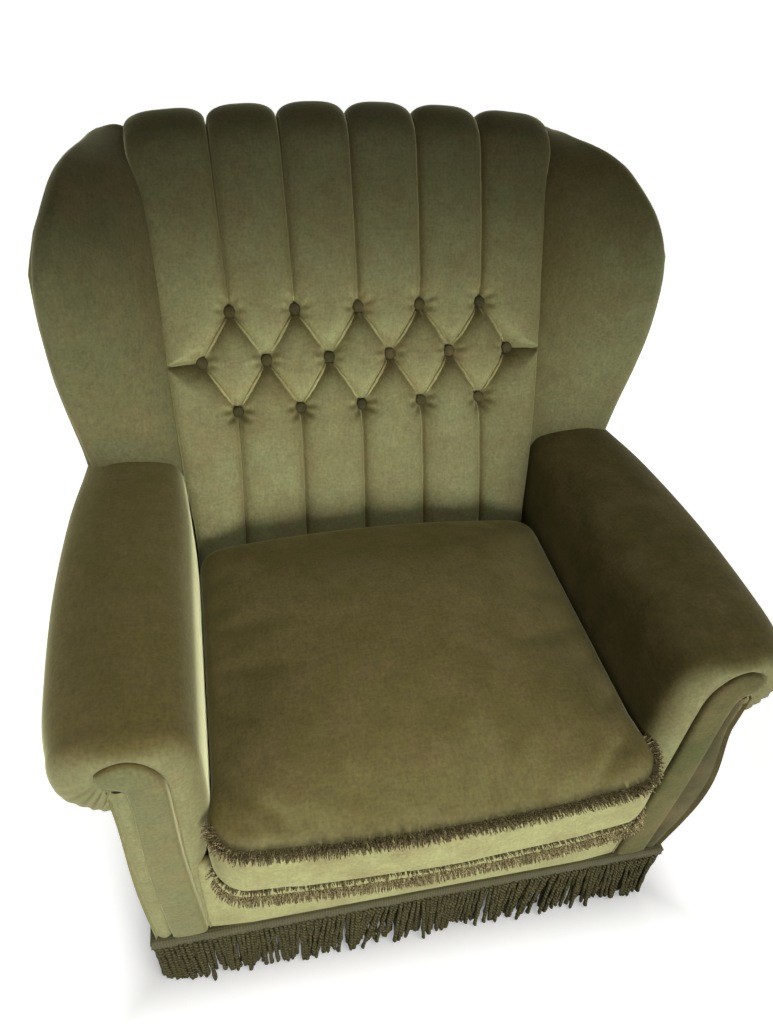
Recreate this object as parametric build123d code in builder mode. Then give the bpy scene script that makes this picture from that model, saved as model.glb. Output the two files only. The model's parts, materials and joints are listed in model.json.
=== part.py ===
from build123d import *
import math
import os

# An upholstered wing armchair with a fluted and buttoned back, rolled arms, a loose
# seat cushion and a bullion fringe. Millimetres, +Z up, the chair faces -Y.
# The origin is on the floor, under the middle of the whole chair.

# Driving dimensions
OVERALL_DEPTH = 850.0
CUSHION_OVERHANG = 55.0
SEAT_WIDTH = 524.0
SEAT_DEPTH = 457.0
BACK_SEAT_Z = 399.0
BACK_TOP_Z = 925.0
CLEAR = 0.4
SOFT_CLEAR = 2.0

# Seat frame
RAIL_BOTTOM = 125.0
RAIL_HEIGHT = 100.0
RAIL_THICK = 30.0
APRON_THICK = 14.0
POST_WIDTH = 42.0
POST_DEPTH = 40.0
ARM_PAD = 29.0
ARM_RAIL_BOTTOM = 445.0
ARM_RAIL_THICK = 23.0
ARM_RAIL_WIDTH = 72.0
REAR_POST_WIDTH = 38.0
REAR_POST_DEPTH = 45.0
REAR_LEAN = 125.0
REAR_TOP_DROP = 20.0
TOP_RAIL_HEIGHT = 50.0
TOP_RAIL_DROP = 85.0
STILE_WIDTH = 40.0
STILE_DEPTH = 35.0
STILE_INSET = 38.0
STILE_SETBACK = 43.0
BLOCK_LEG = 70.0
BLOCK_HEIGHT = 40.0
BLOCK_RISE = 12.0
SCREW_RADIUS = 2.5
SCREW_BITE = 20.0
SCREW_HEAD_RADIUS = 5.0
SCREW_HEAD_HEIGHT = 3.0

# Feet
FOOT_TOP_RADIUS = 27.0
FOOT_NECK_RADIUS = 19.0
FOOT_BASE_RADIUS = 17.0
FOOT_INSET = 44.0
GLIDE_RADIUS = 14.0
GLIDE_HEIGHT = 4.0

# Springing
WEB_WIDTH = 50.0
WEB_THICK = 2.0
WEB_COUNT_LONG = 4
WEB_COUNT_CROSS = 4
SPRING_COUNT = 3
SPRING_PITCH = 150.0
SPRING_RADIUS = 42.0
SPRING_WIRE = 2.0
SPRING_TURNS = 5
SPRING_TOP = 262.0
SPRING_FRONT_GAP = 95.0
SPRING_REAR_GAP = 62.0
HESSIAN_THICK = 2.0
DUST_THICK = 1.5
BACK_WEB_COUNT = 5
BACK_WEB_THICK = 2.5

# Loose cushion
CUSHION_GAP = 15.0
CUSHION_TILT = 3.6
CUSHION_BORDER = 93.0
CUSHION_CROWN = 20.0
CUSHION_CORNER = 58.0
CUSHION_BOW = 12.0
CUSHION_FRONT_BASE = 318.0
COVER_THICK = 3.0
TRIM_WIDTH = 9.0
TRIM_HEIGHT = 15.0

# Rolled arms
ARM_TOP = 549.0
ARM_WIDTH = 162.0
ARM_REAR_WIDTH = 132.0
ARM_REAR_FLARE = 18.0
ARM_REAR_DROP = 13.0
ROLL_HEIGHT = 117.0
FACING_THICK = 12.0
FACING_DROP = 16.0
FACING_HEAD = 69.0
FACING_HEAD_HEIGHT = 72.0
FACING_PROUD = 3.0
OUTSIDE_ARM_THICK = 18.0

# Fluted back
FLUTE_COUNT = 6
FLUTE_CROWN = 24.0
FLUTE_SINK = 3.0
BUTTON_RADIUS = 9.0
BUTTON_HEIGHT = 6.0
GROOVE_HALF = 17.0
BACK_FLARE = 14.0
BACK_TOP_FLARE = 38.0
BACK_TOP_THICK = 83.0
LUMBAR = 17.0
ROW_2_RISE = 247.0
ROW_SPACING = 63.5
OUTSIDE_BACK_THICK = 10.0
OUTSIDE_BACK_CORNER = 60.0

# Wings
WING_WIDTH = 151.0
WING_ADVANCE = 37.0
WING_BOARD = 18.0
WING_PANEL = 6.0
WING_EDGE = 38.0

# Fringe
FRINGE_TOP = 130.0
HEADING_HEIGHT = 15.0
HEADING_THICK = 4.0
FRINGE_FLOOR = 4.0
STRAND_PITCH = 6.5
STRAND_WIDTH = 4.6

# Places worked out from the driving dimensions
FRONT_Y = -OVERALL_DEPTH / 2 + CUSHION_OVERHANG
REAR_TOP_Y = OVERALL_DEPTH / 2
REAR_BASE_Y = REAR_TOP_Y - REAR_LEAN
REAR_TOP_Z = BACK_TOP_Z - REAR_TOP_DROP
TOP_RAIL_Z = BACK_TOP_Z - TOP_RAIL_DROP
REAR_SLOPE = (REAR_TOP_Y - REAR_BASE_Y) / (REAR_TOP_Z - RAIL_BOTTOM)
REAR_RUN = math.hypot(1.0, REAR_SLOPE)
SEAT_HALF = SEAT_WIDTH / 2
FRAME_IN = SEAT_HALF + ARM_PAD + 1.0
FRAME_FRONT = FRONT_Y + APRON_THICK + CLEAR
RAIL_TOP = RAIL_BOTTOM + RAIL_HEIGHT
POST_OUT = FRAME_IN + POST_WIDTH
OUTSIDE_ARM_IN = POST_OUT + CLEAR
OUTSIDE_ARM_OUT = OUTSIDE_ARM_IN + OUTSIDE_ARM_THICK
REAR_POST_OUT = FRAME_IN + REAR_POST_WIDTH
ARM_RAIL_TOP = ARM_RAIL_BOTTOM + ARM_RAIL_THICK
ARM_FRONT = FRONT_Y + FACING_THICK - FACING_PROUD
ARM_WIDEST = SEAT_HALF + ARM_WIDTH
ARM_REAR_OUT = SEAT_HALF + ARM_REAR_WIDTH
ARM_REAR_IN = SEAT_HALF + ARM_REAR_FLARE
ARM_REAR_TOP = ARM_TOP - ARM_REAR_DROP
ROLL_BOTTOM = ARM_TOP - ROLL_HEIGHT
OUTSIDE_ARM_TOP = ROLL_BOTTOM - 10 * CLEAR
WING_BASE_Z = ARM_REAR_TOP + 3.0
BACK_NARROW = SEAT_HALF - 1.0
BACK_TOP_HALF = SEAT_HALF + BACK_TOP_FLARE
ROW_PITCH = 2 * (SEAT_HALF + BACK_FLARE) / FLUTE_COUNT
ROW_2_Z = BACK_SEAT_Z + ROW_2_RISE
ROW_1_Z = ROW_2_Z + ROW_SPACING
ROW_3_Z = ROW_2_Z - ROW_SPACING
CUSHION_DEPTH = SEAT_DEPTH - FLUTE_CROWN + CUSHION_OVERHANG - TRIM_WIDTH - CUSHION_GAP
STILE_OUT = FRAME_IN - STILE_INSET
STILE_IN = STILE_OUT - STILE_WIDTH
STILE_BASE_Y = FRONT_Y + SEAT_DEPTH + STILE_SETBACK
BLOCK_BASE = RAIL_BOTTOM + BLOCK_RISE
CROSS_RAIL_BOTTOM = BLOCK_BASE + BLOCK_HEIGHT + SOFT_CLEAR
SPRING_ROW_PITCH = (SEAT_DEPTH - SPRING_FRONT_GAP - SPRING_REAR_GAP) / (SPRING_COUNT - 1)
SPRING_MID_Y = SPRING_FRONT_GAP + SPRING_ROW_PITCH * (SPRING_COUNT - 1) / 2
WEB_BOTTOM = RAIL_BOTTOM - WEB_THICK
SIDES = {"right": 1, "left": -1}


def rear_y(z):
    """The outer face of the back of the chair at height z."""
    return REAR_BASE_Y + (z - RAIL_BOTTOM) * REAR_SLOPE


def post_rear_y(z):
    """The rear face of the rear posts, just inside the outside back."""
    return rear_y(z) - (OUTSIDE_BACK_THICK + CLEAR) * REAR_RUN


def post_front_y(z):
    """The front face of the rear posts."""
    return post_rear_y(z) - REAR_POST_DEPTH


STILE_TOP_Y = post_front_y(TOP_RAIL_Z) + 2.0
STILE_SLOPE = (STILE_TOP_Y - STILE_BASE_Y) / (TOP_RAIL_Z - RAIL_TOP)


def stile_y(z):
    """The front face of the raked inner stiles."""
    return STILE_BASE_Y + (z - RAIL_TOP) * STILE_SLOPE


def pad_rear_y(z):
    """The rear face of the back stuffing, on the back webbing."""
    return stile_y(z) - BACK_WEB_THICK - CLEAR


def blend(table, z):
    """A value read between the two nearest rows of a short table of heights."""
    for (z0, a), (z1, b) in zip(table, table[1:]):
        if z <= z1:
            return a + (b - a) * max(0.0, z - z0) / (z1 - z0)
    return table[-1][1]


def save(part, name):
    """Labels one finished piece and writes its STEP file."""
    part.label = name
    export_step(part, f"parts/{name}.step")


def save_pair(part, name):
    """Writes a piece made for the +X side, and its mirror image."""
    save(part, f"{name}_right")
    save(mirror(part, about=Plane.YZ), f"{name}_left")


def side_board(points, x_from, x_to):
    """A board with an outline drawn in Y and Z, running from x_from to x_to."""
    with BuildPart() as board:
        with BuildSketch(Plane.YZ.offset(x_from)):
            with BuildLine():
                Polyline(*points, close=True)
            make_face()
        extrude(amount=x_to - x_from)
    return board.part


def box_between(low, high):
    """A plain box between two corners."""
    with BuildPart() as box:
        with BuildSketch(Plane.XY.offset(low[2])):
            with Locations(((low[0] + high[0]) / 2, (low[1] + high[1]) / 2)):
                Rectangle(high[0] - low[0], high[1] - low[1])
        extrude(amount=high[2] - low[2])
    return box.part


os.makedirs("parts", exist_ok=True)

# Beech seat frame
save(
    box_between((-FRAME_IN, FRAME_FRONT, RAIL_BOTTOM), (FRAME_IN, FRAME_FRONT + RAIL_THICK, RAIL_TOP)),
    "front_seat_rail",
)
side_rail_front = FRAME_FRONT + POST_DEPTH
side_rail_outline = [
    (side_rail_front, RAIL_BOTTOM),
    (post_front_y(RAIL_BOTTOM), RAIL_BOTTOM),
    (post_front_y(RAIL_TOP), RAIL_TOP),
    (side_rail_front, RAIL_TOP),
]
save_pair(side_board(side_rail_outline, FRAME_IN, FRAME_IN + RAIL_THICK), "side_seat_rail")


def rear_outline(low, high, front_step, thick):
    """A board that leans with the back of the chair, front_step behind the posts' front."""
    return [
        (post_front_y(low) + front_step, low),
        (post_front_y(low) + front_step + thick, low),
        (post_front_y(high) + front_step + thick, high),
        (post_front_y(high) + front_step, high),
    ]


save(side_board(rear_outline(RAIL_BOTTOM, RAIL_TOP, 5.0, RAIL_THICK), -FRAME_IN, FRAME_IN), "back_seat_rail")
rear_post_outline = rear_outline(RAIL_BOTTOM, TOP_RAIL_Z + TOP_RAIL_HEIGHT, 0.0, REAR_POST_DEPTH)
save_pair(side_board(rear_post_outline, FRAME_IN, REAR_POST_OUT), "rear_post")
top_rail_outline = rear_outline(TOP_RAIL_Z, TOP_RAIL_Z + TOP_RAIL_HEIGHT, 0.0, REAR_POST_DEPTH)
save(side_board(top_rail_outline, -FRAME_IN, FRAME_IN), "top_back_rail")

# The inner back frame: a cross rail between the side rails, and two raked stiles up to the top rail
save(
    box_between(
        (-FRAME_IN, STILE_BASE_Y, CROSS_RAIL_BOTTOM),
        (FRAME_IN, STILE_BASE_Y + STILE_DEPTH, RAIL_TOP),
    ),
    "back_cross_rail",
)
stile_outline = [
    (stile_y(RAIL_TOP), RAIL_TOP),
    (stile_y(RAIL_TOP) + STILE_DEPTH, RAIL_TOP),
    (stile_y(TOP_RAIL_Z) + STILE_DEPTH, TOP_RAIL_Z),
    (stile_y(TOP_RAIL_Z), TOP_RAIL_Z),
]
save_pair(side_board(stile_outline, STILE_IN, STILE_OUT), "back_stile")

# Front arm posts and the boards on top of them, which the arm stuffing is tacked to
save_pair(
    box_between((FRAME_IN, FRAME_FRONT, RAIL_BOTTOM), (POST_OUT, FRAME_FRONT + POST_DEPTH, ARM_RAIL_BOTTOM)),
    "front_arm_post",
)
arm_rail_outline = [
    (FRAME_FRONT, ARM_RAIL_BOTTOM),
    (post_front_y(ARM_RAIL_BOTTOM), ARM_RAIL_BOTTOM),
    (post_front_y(ARM_RAIL_TOP), ARM_RAIL_TOP),
    (FRAME_FRONT, ARM_RAIL_TOP),
]
save_pair(side_board(arm_rail_outline, FRAME_IN, FRAME_IN + ARM_RAIL_WIDTH), "arm_rail")

# Glued and screwed corner blocks inside the front of the seat frame and beside the back rail
block_corners = {
    "front": (FRAME_FRONT + RAIL_THICK, 1),
    "rear": (post_front_y(RAIL_BOTTOM) + 5.0, -1),
}
with BuildPart() as corner_blocks:
    with BuildSketch(Plane.XY.offset(BLOCK_BASE)):
        for block_y, inward in block_corners.values():
            for side in SIDES.values():
                corner = (side * FRAME_IN, block_y)
                with BuildLine():
                    Polyline(
                        corner,
                        (side * (FRAME_IN - BLOCK_LEG), block_y),
                        (side * FRAME_IN, block_y + inward * BLOCK_LEG),
                        close=True,
                    )
                make_face()
    extrude(amount=BLOCK_HEIGHT)

# Two screws a block, driven square through its long face and stopping short of the corner
screw_planes = []
for block_y, inward in block_corners.values():
    for side in SIDES.values():
        for along in (0.35, 0.65):
            mouth = (
                side * (FRAME_IN - BLOCK_LEG * along),
                block_y + inward * BLOCK_LEG * (1 - along),
                BLOCK_BASE + BLOCK_HEIGHT / 2,
            )
            screw_planes.append(Plane(origin=mouth, z_dir=(side, -inward, 0)))
with BuildPart() as corner_screws:
    for plane in screw_planes:
        with BuildSketch(plane.offset(CLEAR)):
            Circle(SCREW_RADIUS)
        extrude(amount=SCREW_BITE)
        with BuildSketch(plane.offset(-SCREW_HEAD_HEIGHT)):
            Circle(SCREW_HEAD_RADIUS)
        extrude(amount=SCREW_HEAD_HEIGHT + CLEAR)
with BuildPart() as drilled_blocks:
    add(corner_blocks.part)
    for plane in screw_planes:
        with BuildSketch(plane):
            Circle(SCREW_HEAD_RADIUS)
        extrude(amount=CLEAR, mode=Mode.SUBTRACT)
        with BuildSketch(plane):
            Circle(SCREW_RADIUS)
        extrude(amount=SCREW_BITE + CLEAR, mode=Mode.SUBTRACT)
save(drilled_blocks.part, "corner_blocks")
save(corner_screws.part, "corner_block_screws")

# Turned feet under the four corners, each on a nailed glide
foot_places = {
    "front_right": (FRAME_IN, FRAME_FRONT + FOOT_INSET),
    "front_left": (-FRAME_IN, FRAME_FRONT + FOOT_INSET),
    "rear_right": (FRAME_IN, post_front_y(RAIL_BOTTOM) - FOOT_INSET / 2),
    "rear_left": (-FRAME_IN, post_front_y(RAIL_BOTTOM) - FOOT_INSET / 2),
}
FOOT_TOP = WEB_BOTTOM - WEB_THICK - DUST_THICK
for foot_name, (foot_x, foot_y) in foot_places.items():
    with BuildPart() as foot:
        with BuildSketch(Plane.XZ):
            with BuildLine():
                Polyline(
                    (0, FOOT_TOP),
                    (0, GLIDE_HEIGHT),
                    (FOOT_BASE_RADIUS, GLIDE_HEIGHT),
                    (FOOT_NECK_RADIUS, FOOT_TOP * 0.45),
                    (FOOT_TOP_RADIUS, FOOT_TOP * 0.72),
                    (FOOT_TOP_RADIUS, FOOT_TOP),
                    close=True,
                )
            make_face()
        revolve(axis=Axis.Z)
    save(foot.part.moved(Location((foot_x, foot_y, 0))), f"foot_{foot_name}")
with BuildPart() as foot_glides:
    with BuildSketch(Plane.XY):
        with Locations(*foot_places.values()):
            Circle(GLIDE_RADIUS)
    extrude(amount=GLIDE_HEIGHT)
save(foot_glides.part, "foot_glides")

# Jute webbing under the seat rails, in two crossing layers
web_front = FRAME_FRONT
web_rear = post_front_y(RAIL_BOTTOM) + 5.0 + RAIL_THICK
web_mid = (web_front + web_rear) / 2
with BuildPart() as webbing_long:
    with BuildSketch(Plane.XY.offset(WEB_BOTTOM)):
        with Locations((0, web_mid)):
            with GridLocations(SPRING_PITCH * 0.8, 1, WEB_COUNT_LONG, 1):
                Rectangle(WEB_WIDTH, web_rear - web_front)
    extrude(amount=WEB_THICK)
save(webbing_long.part, "seat_webbing_lengthwise")
with BuildPart() as webbing_cross:
    with BuildSketch(Plane.XY.offset(WEB_BOTTOM - WEB_THICK)):
        with Locations((0, FRONT_Y + SPRING_MID_Y)):
            with GridLocations(1, SPRING_ROW_PITCH * 0.8, 1, WEB_COUNT_CROSS):
                Rectangle(2 * (FRAME_IN + RAIL_THICK), WEB_WIDTH)
    extrude(amount=WEB_THICK)
save(webbing_cross.part, "seat_webbing_crosswise")

# Black dust cover tacked under the rails, over the webbing and the tops of the feet
with BuildPart() as dust_cover:
    with BuildSketch(Plane.XY.offset(WEB_BOTTOM - WEB_THICK - DUST_THICK)):
        with Locations((0, web_mid)):
            Rectangle(2 * (FRAME_IN + RAIL_THICK), web_rear - web_front)
    extrude(amount=DUST_THICK)
save(dust_cover.part, "dust_cover")


def spring_path(base_z):
    """One upright coil as quarter-turn arcs that climb steadily, with flat first and last turns."""
    climb = SPRING_TOP - SPRING_WIRE - base_z
    quarters = SPRING_TURNS * 4
    points = []
    for half in range(2 * quarters + 1):
        turn = half * math.pi / 4
        share = half / (2 * quarters)
        points.append(
            Vector(SPRING_RADIUS * math.cos(turn), SPRING_RADIUS * math.sin(turn), base_z + climb * share)
        )
    return points


spring_base = WEB_BOTTOM + WEB_THICK + SPRING_WIRE
with BuildPart() as one_spring:
    with BuildLine() as coil:
        coil_points = spring_path(spring_base)
        for first in range(0, len(coil_points) - 1, 2):
            ThreePointArc(*coil_points[first : first + 3])
    with BuildSketch(Plane(origin=coil.line @ 0, z_dir=coil.line % 0)):
        Circle(SPRING_WIRE)
    sweep(is_frenet=True)
with BuildPart() as seat_springs:
    with Locations((0, FRONT_Y + SPRING_MID_Y)):
        with GridLocations(SPRING_PITCH, SPRING_ROW_PITCH, SPRING_COUNT, SPRING_COUNT):
            add(one_spring.part)
save(seat_springs.part, "seat_springs")

# Hessian over the springs
DECK_REAR = FRONT_Y + SEAT_DEPTH - FLUTE_CROWN - CUSHION_GAP / 2
HESSIAN_BOTTOM = SPRING_TOP + CLEAR
save(
    box_between(
        (-SEAT_HALF + 1, FRAME_FRONT, HESSIAN_BOTTOM),
        (SEAT_HALF - 1, DECK_REAR, HESSIAN_BOTTOM + HESSIAN_THICK),
    ),
    "spring_hessian",
)

# Stuffed seat deck, sloping down to the back, with the loose cushion's plane on it
tilt = math.tan(math.radians(CUSHION_TILT))


def deck_z(y):
    """The top of the seat deck at depth y."""
    return CUSHION_FRONT_BASE - CLEAR - (y - FRONT_Y) * tilt


deck_outline = [
    (FRAME_FRONT, HESSIAN_BOTTOM + HESSIAN_THICK),
    (DECK_REAR, HESSIAN_BOTTOM + HESSIAN_THICK),
    (DECK_REAR, deck_z(DECK_REAR)),
    (FRAME_FRONT, deck_z(FRAME_FRONT)),
]
save(side_board(deck_outline, -SEAT_HALF + 1, SEAT_HALF - 1), "seat_deck")

# Padded apron over the front rail, below the cushion
apron_top = deck_z(FRONT_Y) - CLEAR
with BuildPart() as apron:
    with BuildSketch(Plane.XZ.offset(-FRONT_Y - APRON_THICK)):
        with Locations((0, (FRINGE_TOP + RAIL_TOP) / 2)):
            Rectangle(2 * FRAME_IN - 2 * CLEAR, RAIL_TOP - FRINGE_TOP)
        with Locations((0, (FRINGE_TOP + apron_top) / 2)):
            Rectangle(SEAT_WIDTH - 2 * CLEAR, apron_top - FRINGE_TOP)
    extrude(amount=APRON_THICK)
    apron_front = apron.faces().sort_by(Axis.Y)[0]
    fillet(apron_front.edges().group_by(Axis.Z)[-1], APRON_THICK / 3)
save(apron.part, "front_apron")

# The loose box cushion: a crowned top, a border whose seams draw in, and a bowed front
cushion_front = FRONT_Y - CUSHION_OVERHANG + TRIM_WIDTH
cushion_plane = Plane(
    origin=(0, cushion_front, deck_z(cushion_front) + 2 * CLEAR),
    x_dir=(1, 0, 0),
    z_dir=(0, math.sin(math.radians(CUSHION_TILT)), math.cos(math.radians(CUSHION_TILT))),
)
cushion_half = SEAT_HALF - SOFT_CLEAR
CUSHION_SEAM_DRAW = 6.0


def cushion_outline(pull):
    """The cushion seen from above, drawn in by pull all round."""
    half = cushion_half - pull
    rear = CUSHION_DEPTH - pull
    with BuildSketch() as outline:
        with BuildLine():
            ThreePointArc((-half, CUSHION_BOW + pull), (0, pull), (half, CUSHION_BOW + pull))
            Polyline((half, CUSHION_BOW + pull), (half, rear), (-half, rear), (-half, CUSHION_BOW + pull))
        make_face()
        fillet(outline.vertices().group_by(Axis.Y)[0], max(CUSHION_CORNER - pull / 2, BUTTON_RADIUS))
        fillet(outline.vertices().group_by(Axis.Y)[-1], max(CUSHION_CORNER / 2 - pull / 4, BUTTON_RADIUS))
    return outline.sketch


def cushion_form(inset):
    """The whole cushion, or the space inside its cover, inset by the cover's thickness."""
    full = CUSHION_BORDER + CUSHION_CROWN
    levels = [
        (0.0, CUSHION_SEAM_DRAW),
        (CUSHION_BORDER * 0.16, 0.0),
        (CUSHION_BORDER * 0.84, 0.0),
        (CUSHION_BORDER, CUSHION_SEAM_DRAW),
        (CUSHION_BORDER + CUSHION_CROWN * 0.62, CUSHION_SEAM_DRAW + 62),
        (full, CUSHION_SEAM_DRAW + 138),
    ]
    with BuildPart() as form:
        for height, pull in levels:
            with BuildSketch(cushion_plane.offset(inset + height * (full - 2 * inset) / full)):
                add(cushion_outline(pull + inset))
        loft(ruled=True)
    return form.part


with BuildPart() as cushion_cover:
    add(cushion_form(0.0))
    add(cushion_form(COVER_THICK), mode=Mode.SUBTRACT)
save(cushion_cover.part, "seat_cushion_cover")
save(cushion_form(COVER_THICK + CLEAR), "seat_cushion_core")

# Brush fringe along both front seams of the cushion and round its front corners
trim_end = ARM_FRONT - cushion_front - 4.0
trim_levels = {
    "cushion_fringe_bottom": CUSHION_BORDER * 0.03,
    "cushion_fringe_top": CUSHION_BORDER * 0.97 - TRIM_HEIGHT,
}
for trim_name, trim_base in trim_levels.items():
    with BuildPart() as trim:
        with BuildSketch(cushion_plane.offset(trim_base)) as trim_ring:
            add(cushion_outline(-TRIM_WIDTH))
        with BuildSketch(cushion_plane.offset(trim_base)) as trim_hole:
            add(cushion_outline(-CLEAR))
        extrude(trim_ring.sketch, amount=TRIM_HEIGHT)
        extrude(trim_hole.sketch, amount=TRIM_HEIGHT, mode=Mode.SUBTRACT)
        with BuildSketch(cushion_plane.offset(trim_base)) as trim_rest:
            with Locations((0, trim_end + CUSHION_DEPTH)):
                Rectangle(2 * SEAT_WIDTH, 2 * CUSHION_DEPTH)
        extrude(trim_rest.sketch, amount=TRIM_HEIGHT, mode=Mode.SUBTRACT)
    save(trim.part, trim_name)

# Rolled arm stuffing: a layer down the inside face and a roll over the arm board
arm_hook_in = FRAME_IN + ARM_RAIL_WIDTH + 1.0
arm_rear_y = post_front_y(ROLL_BOTTOM) - SOFT_CLEAR


def arm_section(y, inner, outer, top, drop):
    """One upright slice of an arm at depth y; drop rounds the front end down and in."""
    shoulder = ARM_RAIL_TOP + ARM_PAD * 0.4
    crest = ARM_RAIL_TOP + ARM_PAD
    middle = (inner + outer) / 2
    low = ROLL_BOTTOM + drop
    with BuildSketch(Plane.XZ.offset(-y)) as slice_face:
        with BuildLine():
            Line((SEAT_HALF, RAIL_TOP + CLEAR), (inner, shoulder))
            ThreePointArc(
                (inner, shoulder),
                (inner + (middle - inner) * 0.3, shoulder + (top - shoulder) * 0.74),
                (middle, top),
            )
            ThreePointArc(
                (middle, top),
                (outer - (outer - middle) * 0.26, top - (top - crest) * 0.30),
                (outer, crest),
            )
            ThreePointArc(
                (outer, crest),
                (outer - (outer - arm_hook_in) * 0.12, crest - (crest - low) * 0.62),
                (arm_hook_in + SOFT_CLEAR, low),
            )
            Polyline(
                (arm_hook_in + SOFT_CLEAR, low),
                (arm_hook_in, low),
                (arm_hook_in, ARM_RAIL_TOP + CLEAR),
                (SEAT_HALF + ARM_PAD, ARM_RAIL_TOP + CLEAR),
                (SEAT_HALF + ARM_PAD, RAIL_TOP + CLEAR),
                (SEAT_HALF, RAIL_TOP + CLEAR),
            )
        make_face()
    return slice_face.sketch


arm_slices = [
    arm_section(ARM_FRONT, SEAT_HALF + 10, ARM_WIDEST - 34, ARM_TOP - 15, 10.0),
    arm_section(ARM_FRONT + 14, SEAT_HALF, ARM_WIDEST - 17, ARM_TOP - 2, 0.0),
    arm_section(FRONT_Y + SEAT_DEPTH * 0.2, SEAT_HALF, ARM_WIDEST - 5, ARM_TOP, 0.0),
    arm_section(FRONT_Y + SEAT_DEPTH * 0.53, SEAT_HALF, ARM_WIDEST, ARM_TOP, 0.0),
    arm_section(FRONT_Y + SEAT_DEPTH * 0.85, SEAT_HALF + 2, ARM_WIDEST - 13, ARM_TOP - 7, 0.0),
    arm_section(FRONT_Y + SEAT_DEPTH + WING_ADVANCE, ARM_REAR_IN, ARM_REAR_OUT, ARM_REAR_TOP, 0.0),
    arm_section(arm_rear_y, ARM_REAR_IN, ARM_REAR_OUT, ARM_REAR_TOP, 0.0),
]
with BuildPart() as inside_arm:
    loft(arm_slices, ruled=True)
save_pair(inside_arm.part, "inside_arm")

# Scroll facing on the front of each arm: a straight stem and a hooked head
FACING_IN = FRAME_IN
facing_top = ARM_TOP - FACING_DROP
facing_bend = facing_top - FACING_HEAD_HEIGHT
facing_crest = FACING_IN + FACING_HEAD * 0.565
facing_tip = FACING_IN + FACING_HEAD
tip_z = facing_top - FACING_HEAD_HEIGHT * 0.236
hook_z = facing_top - FACING_HEAD_HEIGHT * 0.486
neck_z = facing_top - FACING_HEAD_HEIGHT * 0.667
with BuildPart() as arm_facing:
    with BuildSketch(Plane.XZ.offset(-ARM_FRONT + CLEAR)):
        with BuildLine():
            Line((FACING_IN, FRINGE_TOP), (FACING_IN, facing_bend))
            ThreePointArc(
                (FACING_IN, facing_bend),
                (FACING_IN + FACING_HEAD * 0.17, facing_top - FACING_HEAD_HEIGHT * 0.29),
                (facing_crest, facing_top),
            )
            ThreePointArc(
                (facing_crest, facing_top),
                (facing_tip - FACING_HEAD * 0.17, facing_top - FACING_HEAD_HEIGHT * 0.056),
                (facing_tip, tip_z),
            )
            ThreePointArc(
                (facing_tip, tip_z),
                (facing_tip - FACING_HEAD * 0.015, (tip_z + hook_z) / 2),
                (facing_tip - FACING_HEAD * 0.116, hook_z),
            )
            Polyline(
                (facing_tip - FACING_HEAD * 0.116, hook_z),
                (POST_OUT + SOFT_CLEAR, neck_z),
                (POST_OUT, facing_bend),
                (POST_OUT, FRINGE_TOP),
                (FACING_IN, FRINGE_TOP),
            )
        make_face()
    extrude(amount=FACING_THICK)
save_pair(arm_facing.part, "arm_facing")

# Outside arm panels, under the rolls
outside_arm_outline = [
    (ARM_FRONT, FRINGE_TOP),
    (post_rear_y(FRINGE_TOP), FRINGE_TOP),
    (post_rear_y(WING_BASE_Z), WING_BASE_Z - CLEAR),
    (post_front_y(ARM_RAIL_TOP) + CLEAR, WING_BASE_Z - CLEAR),
    (post_front_y(ARM_RAIL_TOP) + CLEAR, OUTSIDE_ARM_TOP),
    (ARM_FRONT, OUTSIDE_ARM_TOP),
]
save_pair(side_board(outside_arm_outline, OUTSIDE_ARM_IN, OUTSIDE_ARM_OUT), "outside_arm")

# The inside back. Heights of the seat line, the three button rows and the roll at the top
BACK_BASE_Z = RAIL_TOP + ARM_PAD * 0.4
ROLL_START_Z = BACK_TOP_Z - TOP_RAIL_DROP * 0.8
SADDLE_Z = TOP_RAIL_Z + TOP_RAIL_HEIGHT + CLEAR

seat_line_y = FRONT_Y + SEAT_DEPTH
top_line_y = REAR_TOP_Y - BACK_TOP_THICK


def rake_y(z, bulge):
    """A point of the straight rake from seat to top, brought forward by a share of the lumbar bulge."""
    share = (z - BACK_SEAT_Z) / (BACK_TOP_Z - BACK_SEAT_Z)
    return seat_line_y + (top_line_y - seat_line_y) * share - LUMBAR * bulge


# Depth of the bottom of the flutes, by height
groove_line = [
    (BACK_BASE_Z, seat_line_y - FLUTE_SINK),
    (BACK_SEAT_Z, seat_line_y),
    (WING_BASE_Z, rake_y(WING_BASE_Z, 0.76)),
    (ROW_3_Z, rake_y(ROW_3_Z, 1.0)),
    (ROW_2_Z, rake_y(ROW_2_Z, 1.0)),
    (ROW_1_Z, rake_y(ROW_1_Z, 1.0)),
    (ROLL_START_Z, rake_y(ROLL_START_Z, 0.68)),
    (BACK_TOP_Z, top_line_y),
]
# Half width of the back, by height: held between the arms, then fanning out to the top
row_half = SEAT_HALF + BACK_FLARE
back_half = [
    (BACK_BASE_Z, BACK_NARROW),
    (WING_BASE_Z, BACK_NARROW),
    (ROW_3_Z, row_half - 4),
    (ROW_2_Z, row_half),
    (ROW_1_Z, row_half + 4),
    (ROLL_START_Z, BACK_TOP_HALF - 10),
    (BACK_TOP_Z, BACK_TOP_HALF),
]


def flute_station(y, z, lean):
    """A slicing plane across the flutes at a point of the back, leaning back by lean degrees."""
    up = math.radians(lean)
    return Plane(origin=(0, y, z), x_dir=(1, 0, 0), z_dir=(0, math.sin(up), math.cos(up)))


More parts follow.
